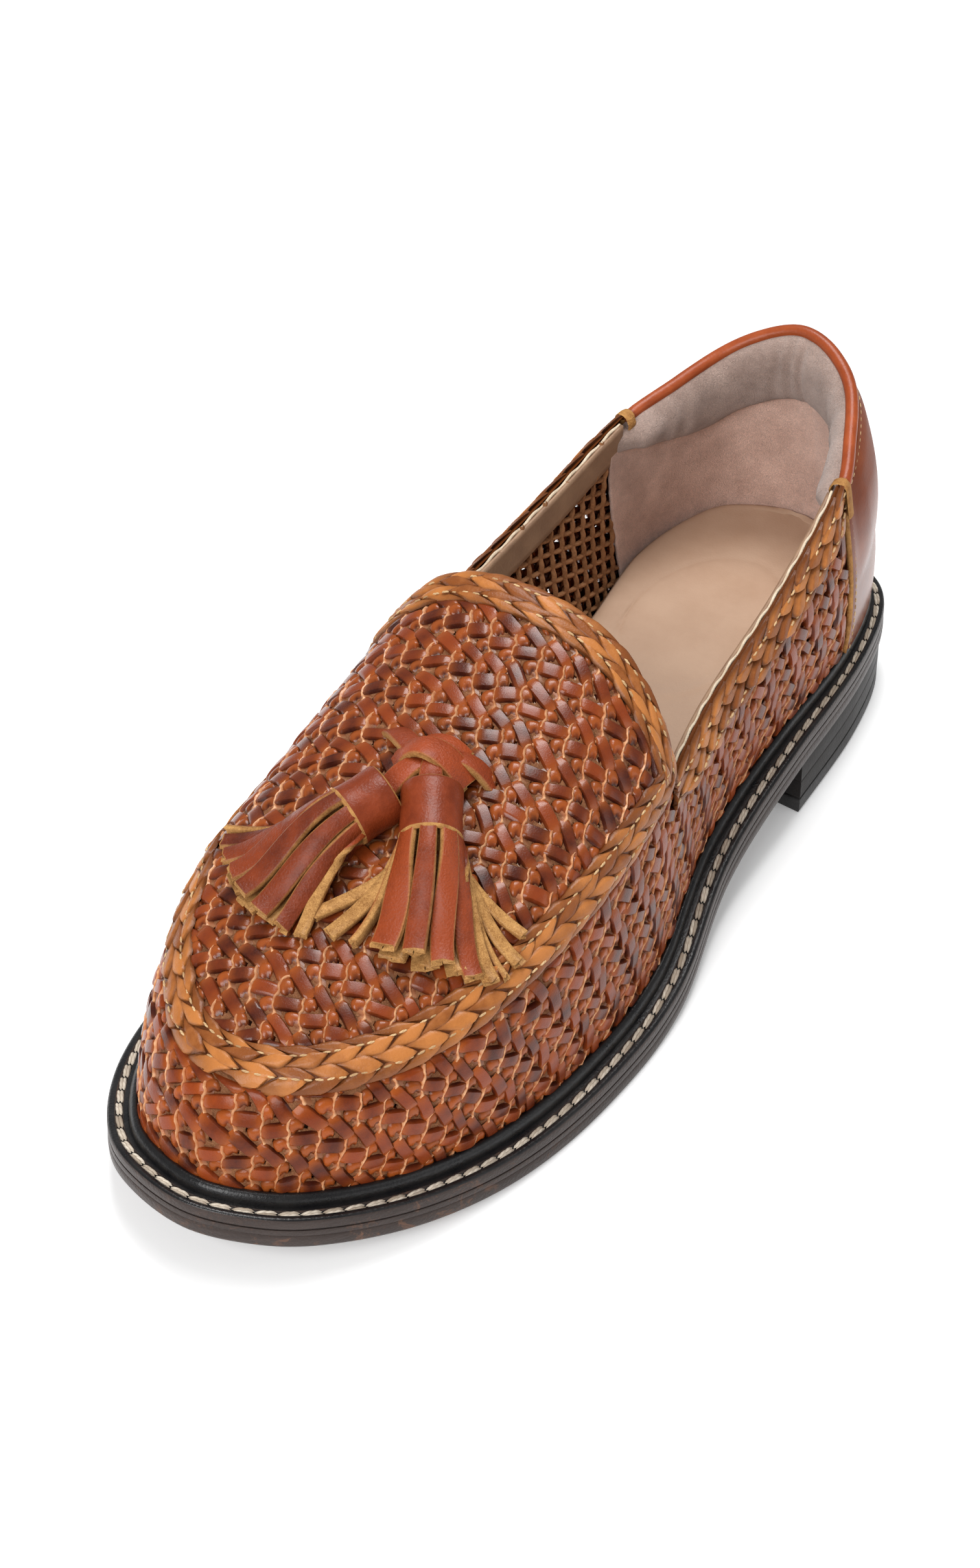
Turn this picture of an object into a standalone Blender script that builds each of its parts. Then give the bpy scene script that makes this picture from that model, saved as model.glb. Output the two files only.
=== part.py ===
"""Woven tassel loafer, left shoe, standing on its sole.

Frame: metres, +Z up, toe toward -Y, the shoe's outer side on +X. The origin is on the floor under the
middle of the sole. Sizes below are millimetres. Every curved piece is worked out from one last: a table
of sections around the shoe, a sole profile and a crown line.
"""
import math

import bmesh
import bpy
import numpy as np

MM = 0.001

# Sole
LENGTH = 270.0
TOE_SPRING = 11.4
SPRING_END = 0.30        # share of the length, from the toe, where the sole touches the floor
HEEL_RISE = 14.8
RISE_START = 0.38        # where the sole leaves the floor toward the arch
RISE_END = 0.74
HEEL_BREAST = 0.73
OUTSOLE = 5.0
LIFT = 4.0
HEEL_INSET = 0.6
WELT_TOP = 8.1
BEAD_TOP = 11.0
LIP_FRONT = 8.0          # from the sole's edge to the upper
LIP_HEEL = 6.0
INSOLE_FRONT = 9.6       # foot bed above the outsole's underside
INSOLE_HEEL = 13.0

# Upper
WALL = 1.8
STRIP_RISE = 0.9
STRIP_TILT = 0.22        # slant of a strip, as a share of its cell
STRIP_END = 0.16         # from the cell's edge to the end of the strip's ridge
GAP = 0.3                # between neighbouring pieces
HIDDEN_ROW = BEAD_TOP + 0.6
BRAID_WIDTH = 6.6
WOVEN_ROWS = 5
TONGUE_CORNER = -5.0     # y where the apron line meets the tongue's rear edge
TONGUE_ROUND = 7.5       # how far the rear edge bows out behind its corners
TONGUE_REACH = 8         # rows of cells that the bow fades over
CROWN_SKEW = 0.09        # the instep ridge lies toward the inner side
CROWN_POWER = 2.1
COUNTER_Y = 91.0
COUNTER_THICK = 1.3
PIPING_RADIUS = 2.5
PIPING_END_RADIUS = 0.7
PIPING_DROP = 2.0 * PIPING_RADIUS + GAP
PIPING_FADE = 5.0        # length over which the upper's edge drops to the piping's seat
BRAID_RISE = 1.7
BRAID_EDGE = 0.8

# Sections around the last: toe tip, outer side to the heel, inner side back to the toe.
# Each row: the sole's edge, the edge that the wall rises to (apron line or topline), and how far the
# wall swells outward low down (bulge) and near its top (shoulder).
SECTION_COLUMNS = ("sole_x", "sole_y", "edge_x", "edge_y", "edge_z", "bulge", "shoulder")
SECTIONS = np.array([
    (0.0, -135.0, 1.0, -117.3, 42.0, 1.0, 5.0),
    (15.9, -129.6, 12.5, -114.5, 42.0, 1.0, 5.0),
    (27.4, -118.8, 22.0, -107.0, 42.0, 1.0, 4.5),
    (38.8, -99.9, 31.5, -94.0, 43.3, 1.5, 4.0),
    (46.9, -75.6, 39.0, -74.0, 47.0, 2.0, 3.0),
    (50.6, -45.9, 42.3, -46.0, 51.8, 2.5, 1.5),
    (49.4, -13.5, 40.5, -14.0, 55.8, 2.0, 1.0),
    (41.3, 21.6, 34.0, 21.0, 58.5, 3.0, 1.0),
    (38.7, 59.4, 31.5, 58.0, 64.5, 4.0, 1.5),
    (35.7, 94.5, 28.0, 92.0, 74.0, 4.0, 1.5),
    (29.3, 118.8, 20.0, 113.0, 82.0, 4.0, 1.5),
    (18.1, 129.6, 11.0, 121.5, 87.0, 4.0, 1.5),
    (0.0, 135.0, 0.0, 124.7, 88.6, 4.0, 1.5),
    (-17.5, 129.6, -11.0, 121.5, 84.8, 4.0, 1.5),
    (-27.0, 118.8, -20.0, 113.0, 79.0, 4.0, 1.5),
    (-32.0, 94.5, -28.0, 92.0, 72.0, 4.0, 1.5),
    (-30.0, 59.4, -31.0, 58.0, 65.5, 4.0, 1.5),
    (-33.0, 21.6, -33.5, 21.0, 60.2, 3.0, 1.0),
    (-41.1, -13.5, -34.8, -13.0, 57.5, 2.0, 1.0),
    (-45.7, -45.9, -35.5, -44.5, 53.5, 2.5, 1.5),
    (-46.2, -75.6, -35.0, -73.0, 48.5, 2.0, 3.0),
    (-40.8, -99.9, -29.0, -94.0, 44.3, 1.5, 4.0),
    (-30.6, -118.8, -20.0, -107.3, 42.3, 1.0, 4.5),
    (-18.6, -129.6, -10.5, -114.8, 42.0, 1.0, 5.0),
])
TURN = len(SECTIONS)
TOE_U = 0.0
HEEL_U = TURN / 2.0

# Plug: height of the crown along the shoe, and how full its arch is (smaller is rounder)
CROWN_COLUMNS = ("y", "crown_z", "arch")
CROWN = np.array([
    (-117.3, 42.0, 0.75),
    (-108.0, 48.0, 0.72),
    (-95.0, 53.5, 0.70),
    (-75.0, 60.0, 0.66),
    (-40.0, 71.5, 0.58),
    (-14.0, 80.8, 0.52),
    (2.0, 87.0, 0.50),
])

# Columns of cells around the upper, for each half
FRONT_COLUMNS = 24       # toe tip to tongue end
QUARTER_COLUMNS = 14     # tongue end to counter
COUNTER_COLUMNS = 8      # counter front to heel back
FAN_COLUMNS = 6          # columns that turn around the plug's toe
FAN_ROWS = 3

# Tassels: plan points where each barrel starts and each fringe ends on the plug, half width of the fan
TASSEL_COLUMNS = ("name", "head_x", "head_y", "tip_x", "tip_y", "fan")
TASSELS = (
    ("tassel_lateral", 6.0, -50.0, 22.0, -81.0, 17.0),
    ("tassel_medial", -5.5, -56.0, -17.0, -87.0, 14.0),
)
BARREL_RADIUS = 6.2
BARREL_LENGTH = 13.0     # in plan
FRINGE_STRIPS = 10
FRINGE_HALF_HEIGHT = 2.4
TASSEL_CLEAR = 1.2       # above the woven strips
TIE_WIDTH = 6.0
TIE_THICK = 2.4
TIE_ENDS = ((-10.0, -40.5), (12.0, -40.0))
TIE_BOW = 3.5            # toward the tassels
TIE_LIFT = 2.0


def smooth(t):
    t = np.clip(t, 0.0, 1.0)
    return t * t * (3.0 - 2.0 * t)


def unit(v):
    return v / np.linalg.norm(v, axis=-1, keepdims=True)


# The last

def underside(y):
    """Height of the outsole's underside: toe spring, flat tread, arch, heel seat."""
    share = np.asarray(y) / LENGTH + 0.5
    spring = TOE_SPRING * np.clip((SPRING_END - share) / SPRING_END, 0.0, None) ** 2
    return spring + HEEL_RISE * smooth((share - RISE_START) / (RISE_END - RISE_START))


def section(u, *names):
    """Values of the section table at u, read on a closed smooth curve through its rows."""
    u = np.asarray(u, float) % TURN
    row = np.floor(u).astype(int)
    t = (u - row)[..., None]
    before, here, after, later = (SECTIONS[(row + k) % TURN] for k in (-1, 0, 1, 2))
    values = 0.5 * (2.0 * here + (after - before) * t
                    + (2.0 * before - 5.0 * here + 4.0 * after - later) * t ** 2
                    + (3.0 * here - before - 3.0 * after + later) * t ** 3)
    return values[..., [SECTION_COLUMNS.index(name) for name in names]]


def outward(u, names=("sole_x", "sole_y")):
    """Level unit vector that points out of the sole's (or another) plan curve."""
    along = section(np.asarray(u) + 0.01, *names) - section(np.asarray(u) - 0.01, *names)
    return unit(np.stack([along[..., 1], -along[..., 0]], -1))


def sole_centre():
    """Middle of the sole's width, which is moved to x = 0."""
    x = section(np.linspace(0.0, TURN, 40 * TURN), "sole_x")
    return 0.5 * (x.max() + x.min())


SECTIONS[:, [0, 2]] -= sole_centre()


def lip(y):
    """Distance from the sole's edge in to the upper."""
    return LIP_FRONT + (LIP_HEEL - LIP_FRONT) * smooth((y - 40.0) / 60.0)


def sole_point(u, inset, height):
    """Point inside the sole's edge, at a height above the underside."""
    plan = section(u, "sole_x", "sole_y") - outward(u) * np.asarray(inset)[..., None]
    return np.concatenate([plan, (underside(plan[..., 1]) + height)[..., None]], -1)


def feather(u):
    """Lower edge of the upper, between welt and insole."""
    return sole_point(u, lip(section(u, "sole_y")[..., 0]), OUTSOLE + GAP)


def edge(u):
    """Top of the wall: apron line in front, topline behind, lower where the piping sits."""
    top = section(u, "edge_x", "edge_y", "edge_z")
    top[..., 2] -= PIPING_DROP * smooth((top[..., 1] - COUNTER_Y) / PIPING_FADE)
    return top


def wall_curve(u, count=40):
    """Points up the wall at one place, from feather to edge."""
    bulge, shoulder = section(u, "bulge", "shoulder")
    low = feather(u)
    top = edge(u)
    out = np.append(outward(u), 0.0)
    rise = np.array([0.0, 0.0, top[2] - low[2]])
    low_pull = low + out * bulge + 0.42 * rise
    top_pull = top + out * shoulder - 0.25 * rise
    t = np.linspace(0.0, 1.0, count)[:, None]
    return (low * (1 - t) ** 3 + 3 * low_pull * t * (1 - t) ** 2
            + 3 * top_pull * t ** 2 * (1 - t) + top * t ** 3)


def run_of(points):
    """Distance along a polyline at each of its points."""
    steps = np.linalg.norm(np.diff(points, axis=0), axis=1)
    return np.concatenate([[0.0], np.cumsum(steps)])


def by_length(points, lengths):
    """Points at given distances along a polyline."""
    run = run_of(points)
    return np.stack([np.interp(lengths, run, points[:, k]) for k in range(3)], -1)


def wall_column(u):
    """One column of the upper: hidden row behind the bead, woven rows, braid row."""
    points = wall_curve(u)
    run = run_of(points)
    total = run[-1]
    above = points[:, 2] - underside(points[:, 1])
    hidden = np.interp(HIDDEN_ROW, above, run)
    woven = np.linspace(hidden, total - BRAID_WIDTH, WOVEN_ROWS + 1)
    return by_length(points, np.concatenate([[0.0], woven, [total]]))


def border_at(y):
    """Apron line on the outer and inner side at y."""
    sides = []
    for us in (np.linspace(TOE_U, HEEL_U, 1200), np.linspace(TURN, HEEL_U, 1200)):
        line = edge(us)
        sides.append([np.interp(y, line[:, 1], line[:, k]) for k in (0, 2)])
    return sides


def plug_height(x, y):
    """Height of the plug above a point of the plan."""
    (outer_x, outer_z), (inner_x, inner_z) = border_at(y)
    across = np.clip((2.0 * x - outer_x - inner_x) / (outer_x - inner_x), -1.0, 1.0)
    skewed = across + CROWN_SKEW * (1.0 - across ** 2)
    base = 0.5 * (outer_z * (1.0 + across) + inner_z * (1.0 - across))
    crown = np.interp(y, CROWN[:, 0], CROWN[:, 1])
    arch = np.interp(y, CROWN[:, 0], CROWN[:, 2])
    middle = 0.5 * (outer_z + inner_z)
    return base + (crown - middle) * np.clip(1.0 - np.abs(skewed) ** CROWN_POWER, 0.0, None) ** arch


def on_plug(plan):
    """Plan points lifted onto the plug."""
    plan = np.asarray(plan, float)
    return np.concatenate([plan, plug_height(plan[..., 0], plan[..., 1])[..., None]], -1)


def braid_line(u):
    """Point on the plug one braid's width in from the apron line."""
    start = edge(u)[:2]
    inward = -outward(u, ("edge_x", "edge_y"))
    plan = start + inward * np.linspace(0.0, BRAID_WIDTH, 30)[:, None]
    points = on_plug(plan)
    points[0] = edge(u)
    return by_length(points, [BRAID_WIDTH])[0]


# Columns around the upper

def place_of(y, side):
    """u where the topline or apron line passes y, on the outer (1) or inner (-1) side."""
    us = np.linspace(TOE_U, HEEL_U, 2400) if side > 0 else np.linspace(TURN, HEEL_U, 2400)
    return float(np.interp(y, section(us, "edge_y")[:, 0], us))


def spread(start, end, count):
    """count steps of equal length between two places, measured half way up the wall."""
    us = np.linspace(start, end, 120)
    middle = 0.5 * (feather(us) + edge(us))
    run = run_of(middle)
    return np.interp(np.linspace(0.0, run[-1], count + 1), run, us)


def half_columns(side):
    """u of each column from the toe to the heel on one side."""
    toe, heel = (TOE_U, HEEL_U) if side > 0 else (float(TURN), HEEL_U)
    tongue = place_of(TONGUE_CORNER, side)
    counter = place_of(COUNTER_Y, side)
    return np.concatenate([
        spread(toe, tongue, FRONT_COLUMNS),
        spread(tongue, counter, QUARTER_COLUMNS)[1:],
        spread(counter, heel, COUNTER_COLUMNS)[1:],
    ])


def all_columns():
    """u of every column, once around the shoe from the toe along the outer side."""
    return np.concatenate([half_columns(1), half_columns(-1)[-2:0:-1]])


# Mesh helpers

def clear_scene():
    for obj in list(bpy.data.objects):
        bpy.data.objects.remove(obj, do_unlink=True)


def material(name, colour, roughness):
    mat = bpy.data.materials.new(name)
    mat.use_nodes = True
    shader = mat.node_tree.nodes["Principled BSDF"]
    shader.inputs["Base Color"].default_value = (*colour, 1.0)
    shader.inputs["Roughness"].default_value = roughness
    shader.inputs["Metallic"].default_value = 0.0
    return mat


def finish(bm, name, mat, weld=1e-6):
    """Weld, face outward and add a bmesh, whose points are in millimetres, as an object in metres."""
    bmesh.ops.remove_doubles(bm, verts=bm.verts, dist=weld / MM)
    bmesh.ops.recalc_face_normals(bm, faces=bm.faces)
    bmesh.ops.scale(bm, vec=(MM, MM, MM), verts=bm.verts)
    mesh = bpy.data.meshes.new(name)
    bm.to_mesh(mesh)
    bm.free()
    mesh.materials.append(mat)
    mesh.shade_smooth()
    mesh.set_sharp_from_angle(angle=math.radians(35.0))
    obj = bpy.data.objects.new(name, mesh)
    bpy.context.collection.objects.link(obj)
    return obj


def add_grid(bm, rows, closed=False):
    """Quads over a grid of vertices."""
    for here, there in zip(rows, rows[1:]):
        count = len(here) if closed else len(here) - 1
        for k in range(count):
            j = (k + 1) % len(here)
            bm.faces.new((here[k], here[j], there[j], there[k]))


def add_rows(bm, points):
    return [[bm.verts.new(p) for p in row] for row in points]


def sweep(name, loops, mat, closed=False):
    """Solid through cross-sections of equal count, joined at the ends or capped."""
    bm = bmesh.new()
    rows = add_rows(bm, loops)
    add_grid(bm, rows + rows[:1] if closed else rows, closed=True)
    if not closed:
        bm.faces.new(rows[0])
        bm.faces.new(rows[-1])
    return finish(bm, name, mat)


def slab(name, inset, ys, lower, upper, mat):
    """Plate inside the sole's edge, in slices across the shoe."""
    sides = []
    for us in (np.linspace(TOE_U, HEEL_U, 800), np.linspace(TURN, HEEL_U, 800)):
        line = sole_point(us, inset(section(us, "sole_y")[:, 0]), 0.0)
        order = np.argsort(line[:, 1])
        sides.append(np.interp(ys, line[order, 1], line[order, 0]))
    loops = []
    for y, outer, inner in zip(ys, *sides):
        low, high = float(lower(y)), float(upper(y))
        loops.append([(outer, y, low), (outer, y, high), (inner, y, high), (inner, y, low)])
    return sweep(name, loops, mat)


def border_of(rows):
    """Vertices once around the border of a grid."""
    right = [row[-1] for row in rows[1:-1]]
    left = [row[0] for row in rows[-2:0:-1]]
    return rows[0] + right + rows[-1][::-1] + left


def plate(name, points, normals, heights, mat):
    """Overlay on the upper: a sheet held GAP off its grid, with its own thickness at each point."""
    bm = bmesh.new()
    inner = add_rows(bm, points + normals * GAP)
    outer = add_rows(bm, points + normals * (GAP + heights)[..., None])
    add_grid(bm, inner)
    add_grid(bm, outer)
    add_grid(bm, [border_of(inner), border_of(outer)], closed=True)
    return finish(bm, name, mat)


# Sole pieces

def end_spaced(start, end, count):
    """Stations that crowd toward both ends."""
    return start + (end - start) * 0.5 * (1.0 - np.cos(np.linspace(0.0, math.pi, count)))


def build_sole(leather, lift):
    half = 0.5 * LENGTH
    flat = [(SPRING_END - 0.5) * LENGTH, (RISE_START - 0.5) * LENGTH]
    ys = np.unique(np.concatenate([end_spaced(-half + 0.05, half - 0.05, 36), flat]))
    slab("outsole", lambda y: 0.0 * y, ys, underside, lambda y: underside(y) + OUTSOLE, leather)

    breast = (HEEL_BREAST - 0.5) * LENGTH
    back = half - HEEL_INSET - 0.05
    ys = breast + (back - breast) * np.sin(np.linspace(0.0, 0.5 * math.pi, 16))
    inset = lambda y: HEEL_INSET + 0.0 * y
    slab("heel_lift", inset, ys, lambda y: 0.0, lambda y: LIFT, lift)
    slab("heel", inset, ys, lambda y: LIFT + GAP, lambda y: underside(y) - GAP, leather)


# Welt profile: share of the way from the sole's edge in to the upper, height above the underside
WELT_PROFILE = (
    (0.00, OUTSOLE + GAP),
    (0.00, WELT_TOP),
    (0.30, WELT_TOP),
    (0.39, WELT_TOP - 0.5),
    (0.48, WELT_TOP),
    (0.60, WELT_TOP),
    (0.74, BEAD_TOP),
    (0.90, BEAD_TOP),
    (1.00, BEAD_TOP - 0.7),
    (1.00, OUTSOLE + GAP),
)


def wall_swell(u, height):
    """How far the wall stands out from the feather line at a height above the underside."""
    points = wall_curve(u)
    out = (points[:, :2] - points[0, :2]) @ outward(u)
    return np.interp(height, points[:, 2] - underside(points[:, 1]), out)


def build_welt(mat):
    loops = []
    for u in all_columns():
        width = lip(section(u, "sole_y")[0])
        loop = []
        for share, height in WELT_PROFILE:
            inset = share * (width - wall_swell(u, height) - GAP)
            loop.append(sole_point(u, inset, height))
        loops.append(loop)
    sweep("welt", loops, mat, closed=True)


def insole_top(y):
    return underside(y) + INSOLE_FRONT + (INSOLE_HEEL - INSOLE_FRONT) * smooth((y + 20.0) / 80.0)


def build_insole(mat):
    inset = lambda y: lip(y) + WALL + 2.0 * GAP
    reach = 0.5 * LENGTH - WALL - 2.0 * GAP - 0.05
    ys = end_spaced(-reach + LIP_FRONT, reach - LIP_HEEL, 28)
    slab("insole", inset, ys, lambda y: underside(y) + OUTSOLE + GAP, insole_top, mat)


# Upper

def upper_grid():
    """Points of the upper's base sheet: wall columns around the shoe, then the plug's rows."""
    outer, inner = half_columns(1), half_columns(-1)
    wall = np.stack([wall_column(u) for u in all_columns()])
    front = range(FRONT_COLUMNS + 1)
    ring_outer = np.stack([braid_line(outer[k]) for k in front])
    ring_inner = np.stack([braid_line(inner[k]) for k in front])
    ring_inner[0] = ring_outer[0]
    cells = 2 * FAN_COLUMNS
    rows = [even_row(ring_outer[k], ring_inner[k], cells, k) for k in front[FAN_COLUMNS:]]
    toe = np.concatenate([ring_outer[FAN_COLUMNS:0:-1], ring_inner[:FAN_COLUMNS + 1]])
    fan = []
    for step in range(1, FAN_ROWS):
        row = on_plug(toe[:, :2] + (rows[0][:, :2] - toe[:, :2]) * step / FAN_ROWS)
        row[0], row[-1] = toe[0], toe[-1]
        fan.append(row)
    return wall, ring_outer, ring_inner, [toe] + fan, rows


def even_row(start, end, cells, column):
    """Row of points over the plug between two points, evenly spaced along its arch.

    The last rows bow back, so that the tongue's rear edge is round at its corners."""
    share = np.linspace(0.0, 1.0, 60)[:, None]
    plan = start[:2] * (1 - share) + end[:2] * share
    bow = TONGUE_ROUND * smooth((column - FRONT_COLUMNS + TONGUE_REACH) / TONGUE_REACH)
    plan[:, 1] += bow * (1.0 - np.abs(2.0 * share[:, 0] - 1.0) ** 5)
    points = on_plug(plan)
    points[0], points[-1] = start, end
    return by_length(points, np.linspace(0.0, run_of(points)[-1], cells + 1))


class UpperSheet:
    """Base sheet of the upper as a bmesh, with its named grids of vertices."""

    def __init__(self):
        wall, ring_outer, ring_inner, fan, rows = upper_grid()
        self.bm = bmesh.new()
        self.wall = add_rows(self.bm, wall)
        self.columns = len(self.wall)
        self.woven = []
        outer = [self.bm.verts.new(p) for p in ring_outer]
        inner = [outer[0]] + [self.bm.verts.new(p) for p in ring_inner[1:]]
        self.ring = list(zip(self.front_tops(1), outer)), list(zip(self.front_tops(-1), inner))
        self.rows = self.plug_rows(rows, outer, inner)
        self.fan = self.fan_rows(fan, outer, inner)
        self.add_faces()
        self.bm.normal_update()

    def front_tops(self, side):
        """Wall-top vertices from the toe to the tongue on one side."""
        return [self.wall[(side * k) % self.columns][-1] for k in range(FRONT_COLUMNS + 1)]

    def plug_rows(self, rows, outer, inner):
        grid = []
        for k, row in enumerate(rows):
            middle = [self.bm.verts.new(p) for p in row[1:-1]]
            grid.append([outer[FAN_COLUMNS + k]] + middle + [inner[FAN_COLUMNS + k]])
        return grid

    def fan_rows(self, fan, outer, inner):
        toe = outer[FAN_COLUMNS:0:-1] + inner[:FAN_COLUMNS + 1]
        grid = [toe]
        for row in fan[1:]:
            middle = [self.bm.verts.new(p) for p in row[1:-1]]
            grid.append([toe[0]] + middle + [toe[-1]])
        return grid + [self.rows[0]]

    def face(self, corners, slant=0):
        """Add a face; a slant of 1 or -1 marks it as a woven strip."""
        distinct = list(dict.fromkeys(corners))
        made = self.bm.faces.new(distinct)
        if slant and len(distinct) == 4:
            self.woven.append((made, slant))

    def is_counter(self, column):
        limit = FRONT_COLUMNS + QUARTER_COLUMNS
        return limit <= column < self.columns - limit

    def is_front(self, column):
        return column < FRONT_COLUMNS or column >= self.columns - FRONT_COLUMNS

    def add_faces(self):
        for i in range(self.columns):
            here, there = self.wall[i], self.wall[(i + 1) % self.columns]
            for j in range(len(here) - 1):
                top_row = j == len(here) - 2
                plain = j == 0 or self.is_counter(i) or (top_row and not self.is_front(i))
                slant = 0 if plain else (1 if j % 2 else -1)
                self.face((here[j], there[j], there[j + 1], here[j + 1]), slant)
        for side, ring in zip((1, -1), self.ring):
            for (low, high), (next_low, next_high) in zip(ring, ring[1:]):
                corners = (low, next_low, next_high, high)
                self.face(corners if side > 0 else corners[::-1])
        for grid, bound in ((self.fan, False), (self.rows, True)):
            for r, (here, there) in enumerate(zip(grid, grid[1:])):
                plain = bound and r == len(grid) - 2
                for k in range(len(here) - 1):
                    slant = 0 if plain else (1 if r % 2 else -1)
                    self.face((here[k], there[k], there[k + 1], here[k + 1]), slant)


def points_of(grid):
    return np.array([[v.co for v in row] for row in grid])


def normals_of(grid):
    return np.array([[v.normal for v in row] for row in grid])


def raise_strip(bm, face, slant):
    """Replace a flat cell by a strip with a slanted ridge."""
    a, b, c, d = face.verts
    corners = np.array([v.co for v in (a, b, c, d)])
    lift = np.array(face.normal) * STRIP_RISE
    ends = []
    for along, tilt in ((STRIP_END, -slant), (1.0 - STRIP_END, slant)):
        across = 0.5 + tilt * STRIP_TILT
        low = corners[0] * (1 - along) + corners[1] * along
        high = corners[3] * (1 - along) + corners[2] * along
        ends.append(bm.verts.new(low * (1 - across) + high * across + lift))
    bm.faces.remove(face)
    for corner in ((a, b, ends[1], ends[0]), (b, c, ends[1]), (c, d, ends[0], ends[1]), (d, a, ends[0])):
        bm.faces.new(corner)


def build_upper(sheet, mat):
    """Close the base sheet to a wall with an inner face, then raise the strips outside."""
    bm = sheet.bm
    inside = {v: bm.verts.new(np.array(v.co) - np.array(v.normal) * WALL) for v in list(bm.verts)}
    rims = [e for e in bm.edges if e.is_boundary]
    outer_faces = list(bm.faces)
    for e in rims:
        a, b = e.verts
        bm.faces.new((a, b, inside[b], inside[a]))
    for face in outer_faces:
        bm.faces.new([inside[v] for v in reversed(face.verts)])
    for face, slant in sheet.woven:
        raise_strip(bm, face, slant)
    return finish(bm, "upper", mat)


# Overlays on the upper

def between(points, normals, shares):
    """Points and normals at shares of the way from the first to the last of two lines."""
    lines = [points[:, 0] * (1 - s) + points[:, 1] * s for s in shares]
    tilts = [normals[:, 0] * (1 - s) + normals[:, 1] * s for s in shares]
    return np.stack(lines, 1), unit(np.stack(tilts, 1))


def trim(points, normals, share=0.12):
    """Draw the first and last stations in, so that neighbouring strips stay apart."""
    points, normals = points.copy(), normals.copy()
    for end, inner in ((0, 1), (-1, -2)):
        points[end] += (points[inner] - points[end]) * share
        normals[end] = unit(normals[end] + (normals[inner] - normals[end]) * share)
    return points, normals


def braid(name, pairs, mat, closed=False, shares=(0.07, 0.5, 0.94)):
    """Plaited strip along pairs of points of the upper: its ridge swings from side to side."""
    points, normals = between(points_of(pairs), normals_of(pairs), shares)
    if not closed:
        points, normals = trim(points, normals)
    swing = np.where(np.arange(len(points)) % 2, 0.3, -0.3)[:, None]
    points[:, 1] += (points[:, 2] - points[:, 0]) * 0.5 * swing
    heights = np.array([BRAID_EDGE, BRAID_RISE, BRAID_EDGE])[:, None]
    under = points + normals * GAP
    over = under + normals * heights
    sweep(name, np.concatenate([under, over[:, ::-1]], 1), mat, closed)


def apron_pairs(sheet):
    """Outer and inner line of the braid: up one side of the plug, around the tongue's rear edge."""
    sides = []
    for ring, step in zip(sheet.ring, (1, -1)):
        rear, before = sheet.rows[-1][::step], sheet.rows[-2][::step]
        corner = [(ring[-1][0], before[0]), (rear[0], before[0]), (rear[0], before[1])]
        sides.append(ring[:-1] + corner)
    middle = list(zip(sheet.rows[-1], sheet.rows[-2]))[1:-1]
    return sides[0] + middle + sides[1][:0:-1]


def build_braids(sheet, mat):
    braid("apron_braid", apron_pairs(sheet), mat, closed=True)
    span = range(FRONT_COLUMNS, FRONT_COLUMNS + QUARTER_COLUMNS + 1)
    for name, side in (("topline_braid_lateral", 1), ("topline_braid_medial", -1)):
        braid(name, [sheet.wall[(side * i) % sheet.columns][:-3:-1] for i in span], mat)


def counter_span(sheet):
    first = FRONT_COLUMNS + QUARTER_COLUMNS
    return range(first, sheet.columns - first + 1)


def build_counter(sheet, mat):
    grid = [sheet.wall[i][1:] for i in counter_span(sheet)]
    points, normals = trim(points_of(grid), normals_of(grid), 0.06)
    heights = np.full(points.shape[:2], COUNTER_THICK)
    plate("counter", points, normals, heights, mat)


def build_piping(sheet, mat, sides=8):
    """Rolled edge on top of the back of the upper, pointed at its two ends."""
    tops = [[sheet.wall[i][-1]] for i in counter_span(sheet)]
    points, normals = points_of(tops)[:, 0], normals_of(tops)[:, 0]
    loops = []
    for k, (top, normal) in enumerate(zip(points, normals)):
        at_end = k in (0, len(points) - 1)
        radius = PIPING_END_RADIUS if at_end else PIPING_RADIUS
        out = unit(np.array([normal[0], normal[1], 0.0]))
        up = np.array([0.0, 0.0, 1.0])
        centre = top + up * (radius + 2.0 * GAP)
        angles = np.linspace(0.0, 2.0 * math.pi, sides, endpoint=False)
        loops.append([centre + radius * (out * math.cos(a) + up * math.sin(a)) for a in angles])
    sweep("collar_piping", loops, mat)


# Tassels

def tassel_stations(reach, fan):
    """Rows along a tassel: distance from its head, half width, half height, notch between strips."""
    fringe = reach - BARREL_LENGTH
    rows = [
        (0.0, 0.6 * BARREL_RADIUS, 0.6 * BARREL_RADIUS, 1.0),
        (1.2, BARREL_RADIUS, BARREL_RADIUS, 1.0),
        (BARREL_LENGTH, BARREL_RADIUS, BARREL_RADIUS, 1.0),
    ]
    for share in (0.04, 0.25, 0.5, 0.75, 1.0):
        half_width = BARREL_RADIUS - 1.0 + (fan - BARREL_RADIUS + 1.0) * share
        half_height = BARREL_RADIUS - 1.0 + (FRINGE_HALF_HEIGHT - BARREL_RADIUS + 1.0) * smooth(share)
        rows.append((BARREL_LENGTH + fringe * share, half_width, half_height, 0.92 - 0.22 * share))
    return rows


def tassel_loops(head, tip, fan):
    """Cross-sections of a tassel that lies on the plug: round barrel, then strips that fan out."""
    along = unit(tip - head)
    across = np.array([-along[1], along[0]])
    lift = STRIP_RISE + TASSEL_CLEAR
    loops = []
    for distance, half_width, half_height, notch in tassel_stations(np.linalg.norm(tip - head), fan):
        plan = head + along * distance
        stiff = distance <= BARREL_LENGTH
        loop = []
        for k in range(2 * FRINGE_STRIPS):
            angle = math.pi * k / FRINGE_STRIPS
            share = notch if k % 2 else 1.0
            point = plan + across * half_width * share * math.cos(angle)
            ground = on_plug(plan if stiff else point)[2]
            loop.append((*point, ground + lift + half_height * (1.0 + share * math.sin(angle))))
        loops.append(loop)
    return loops


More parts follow.
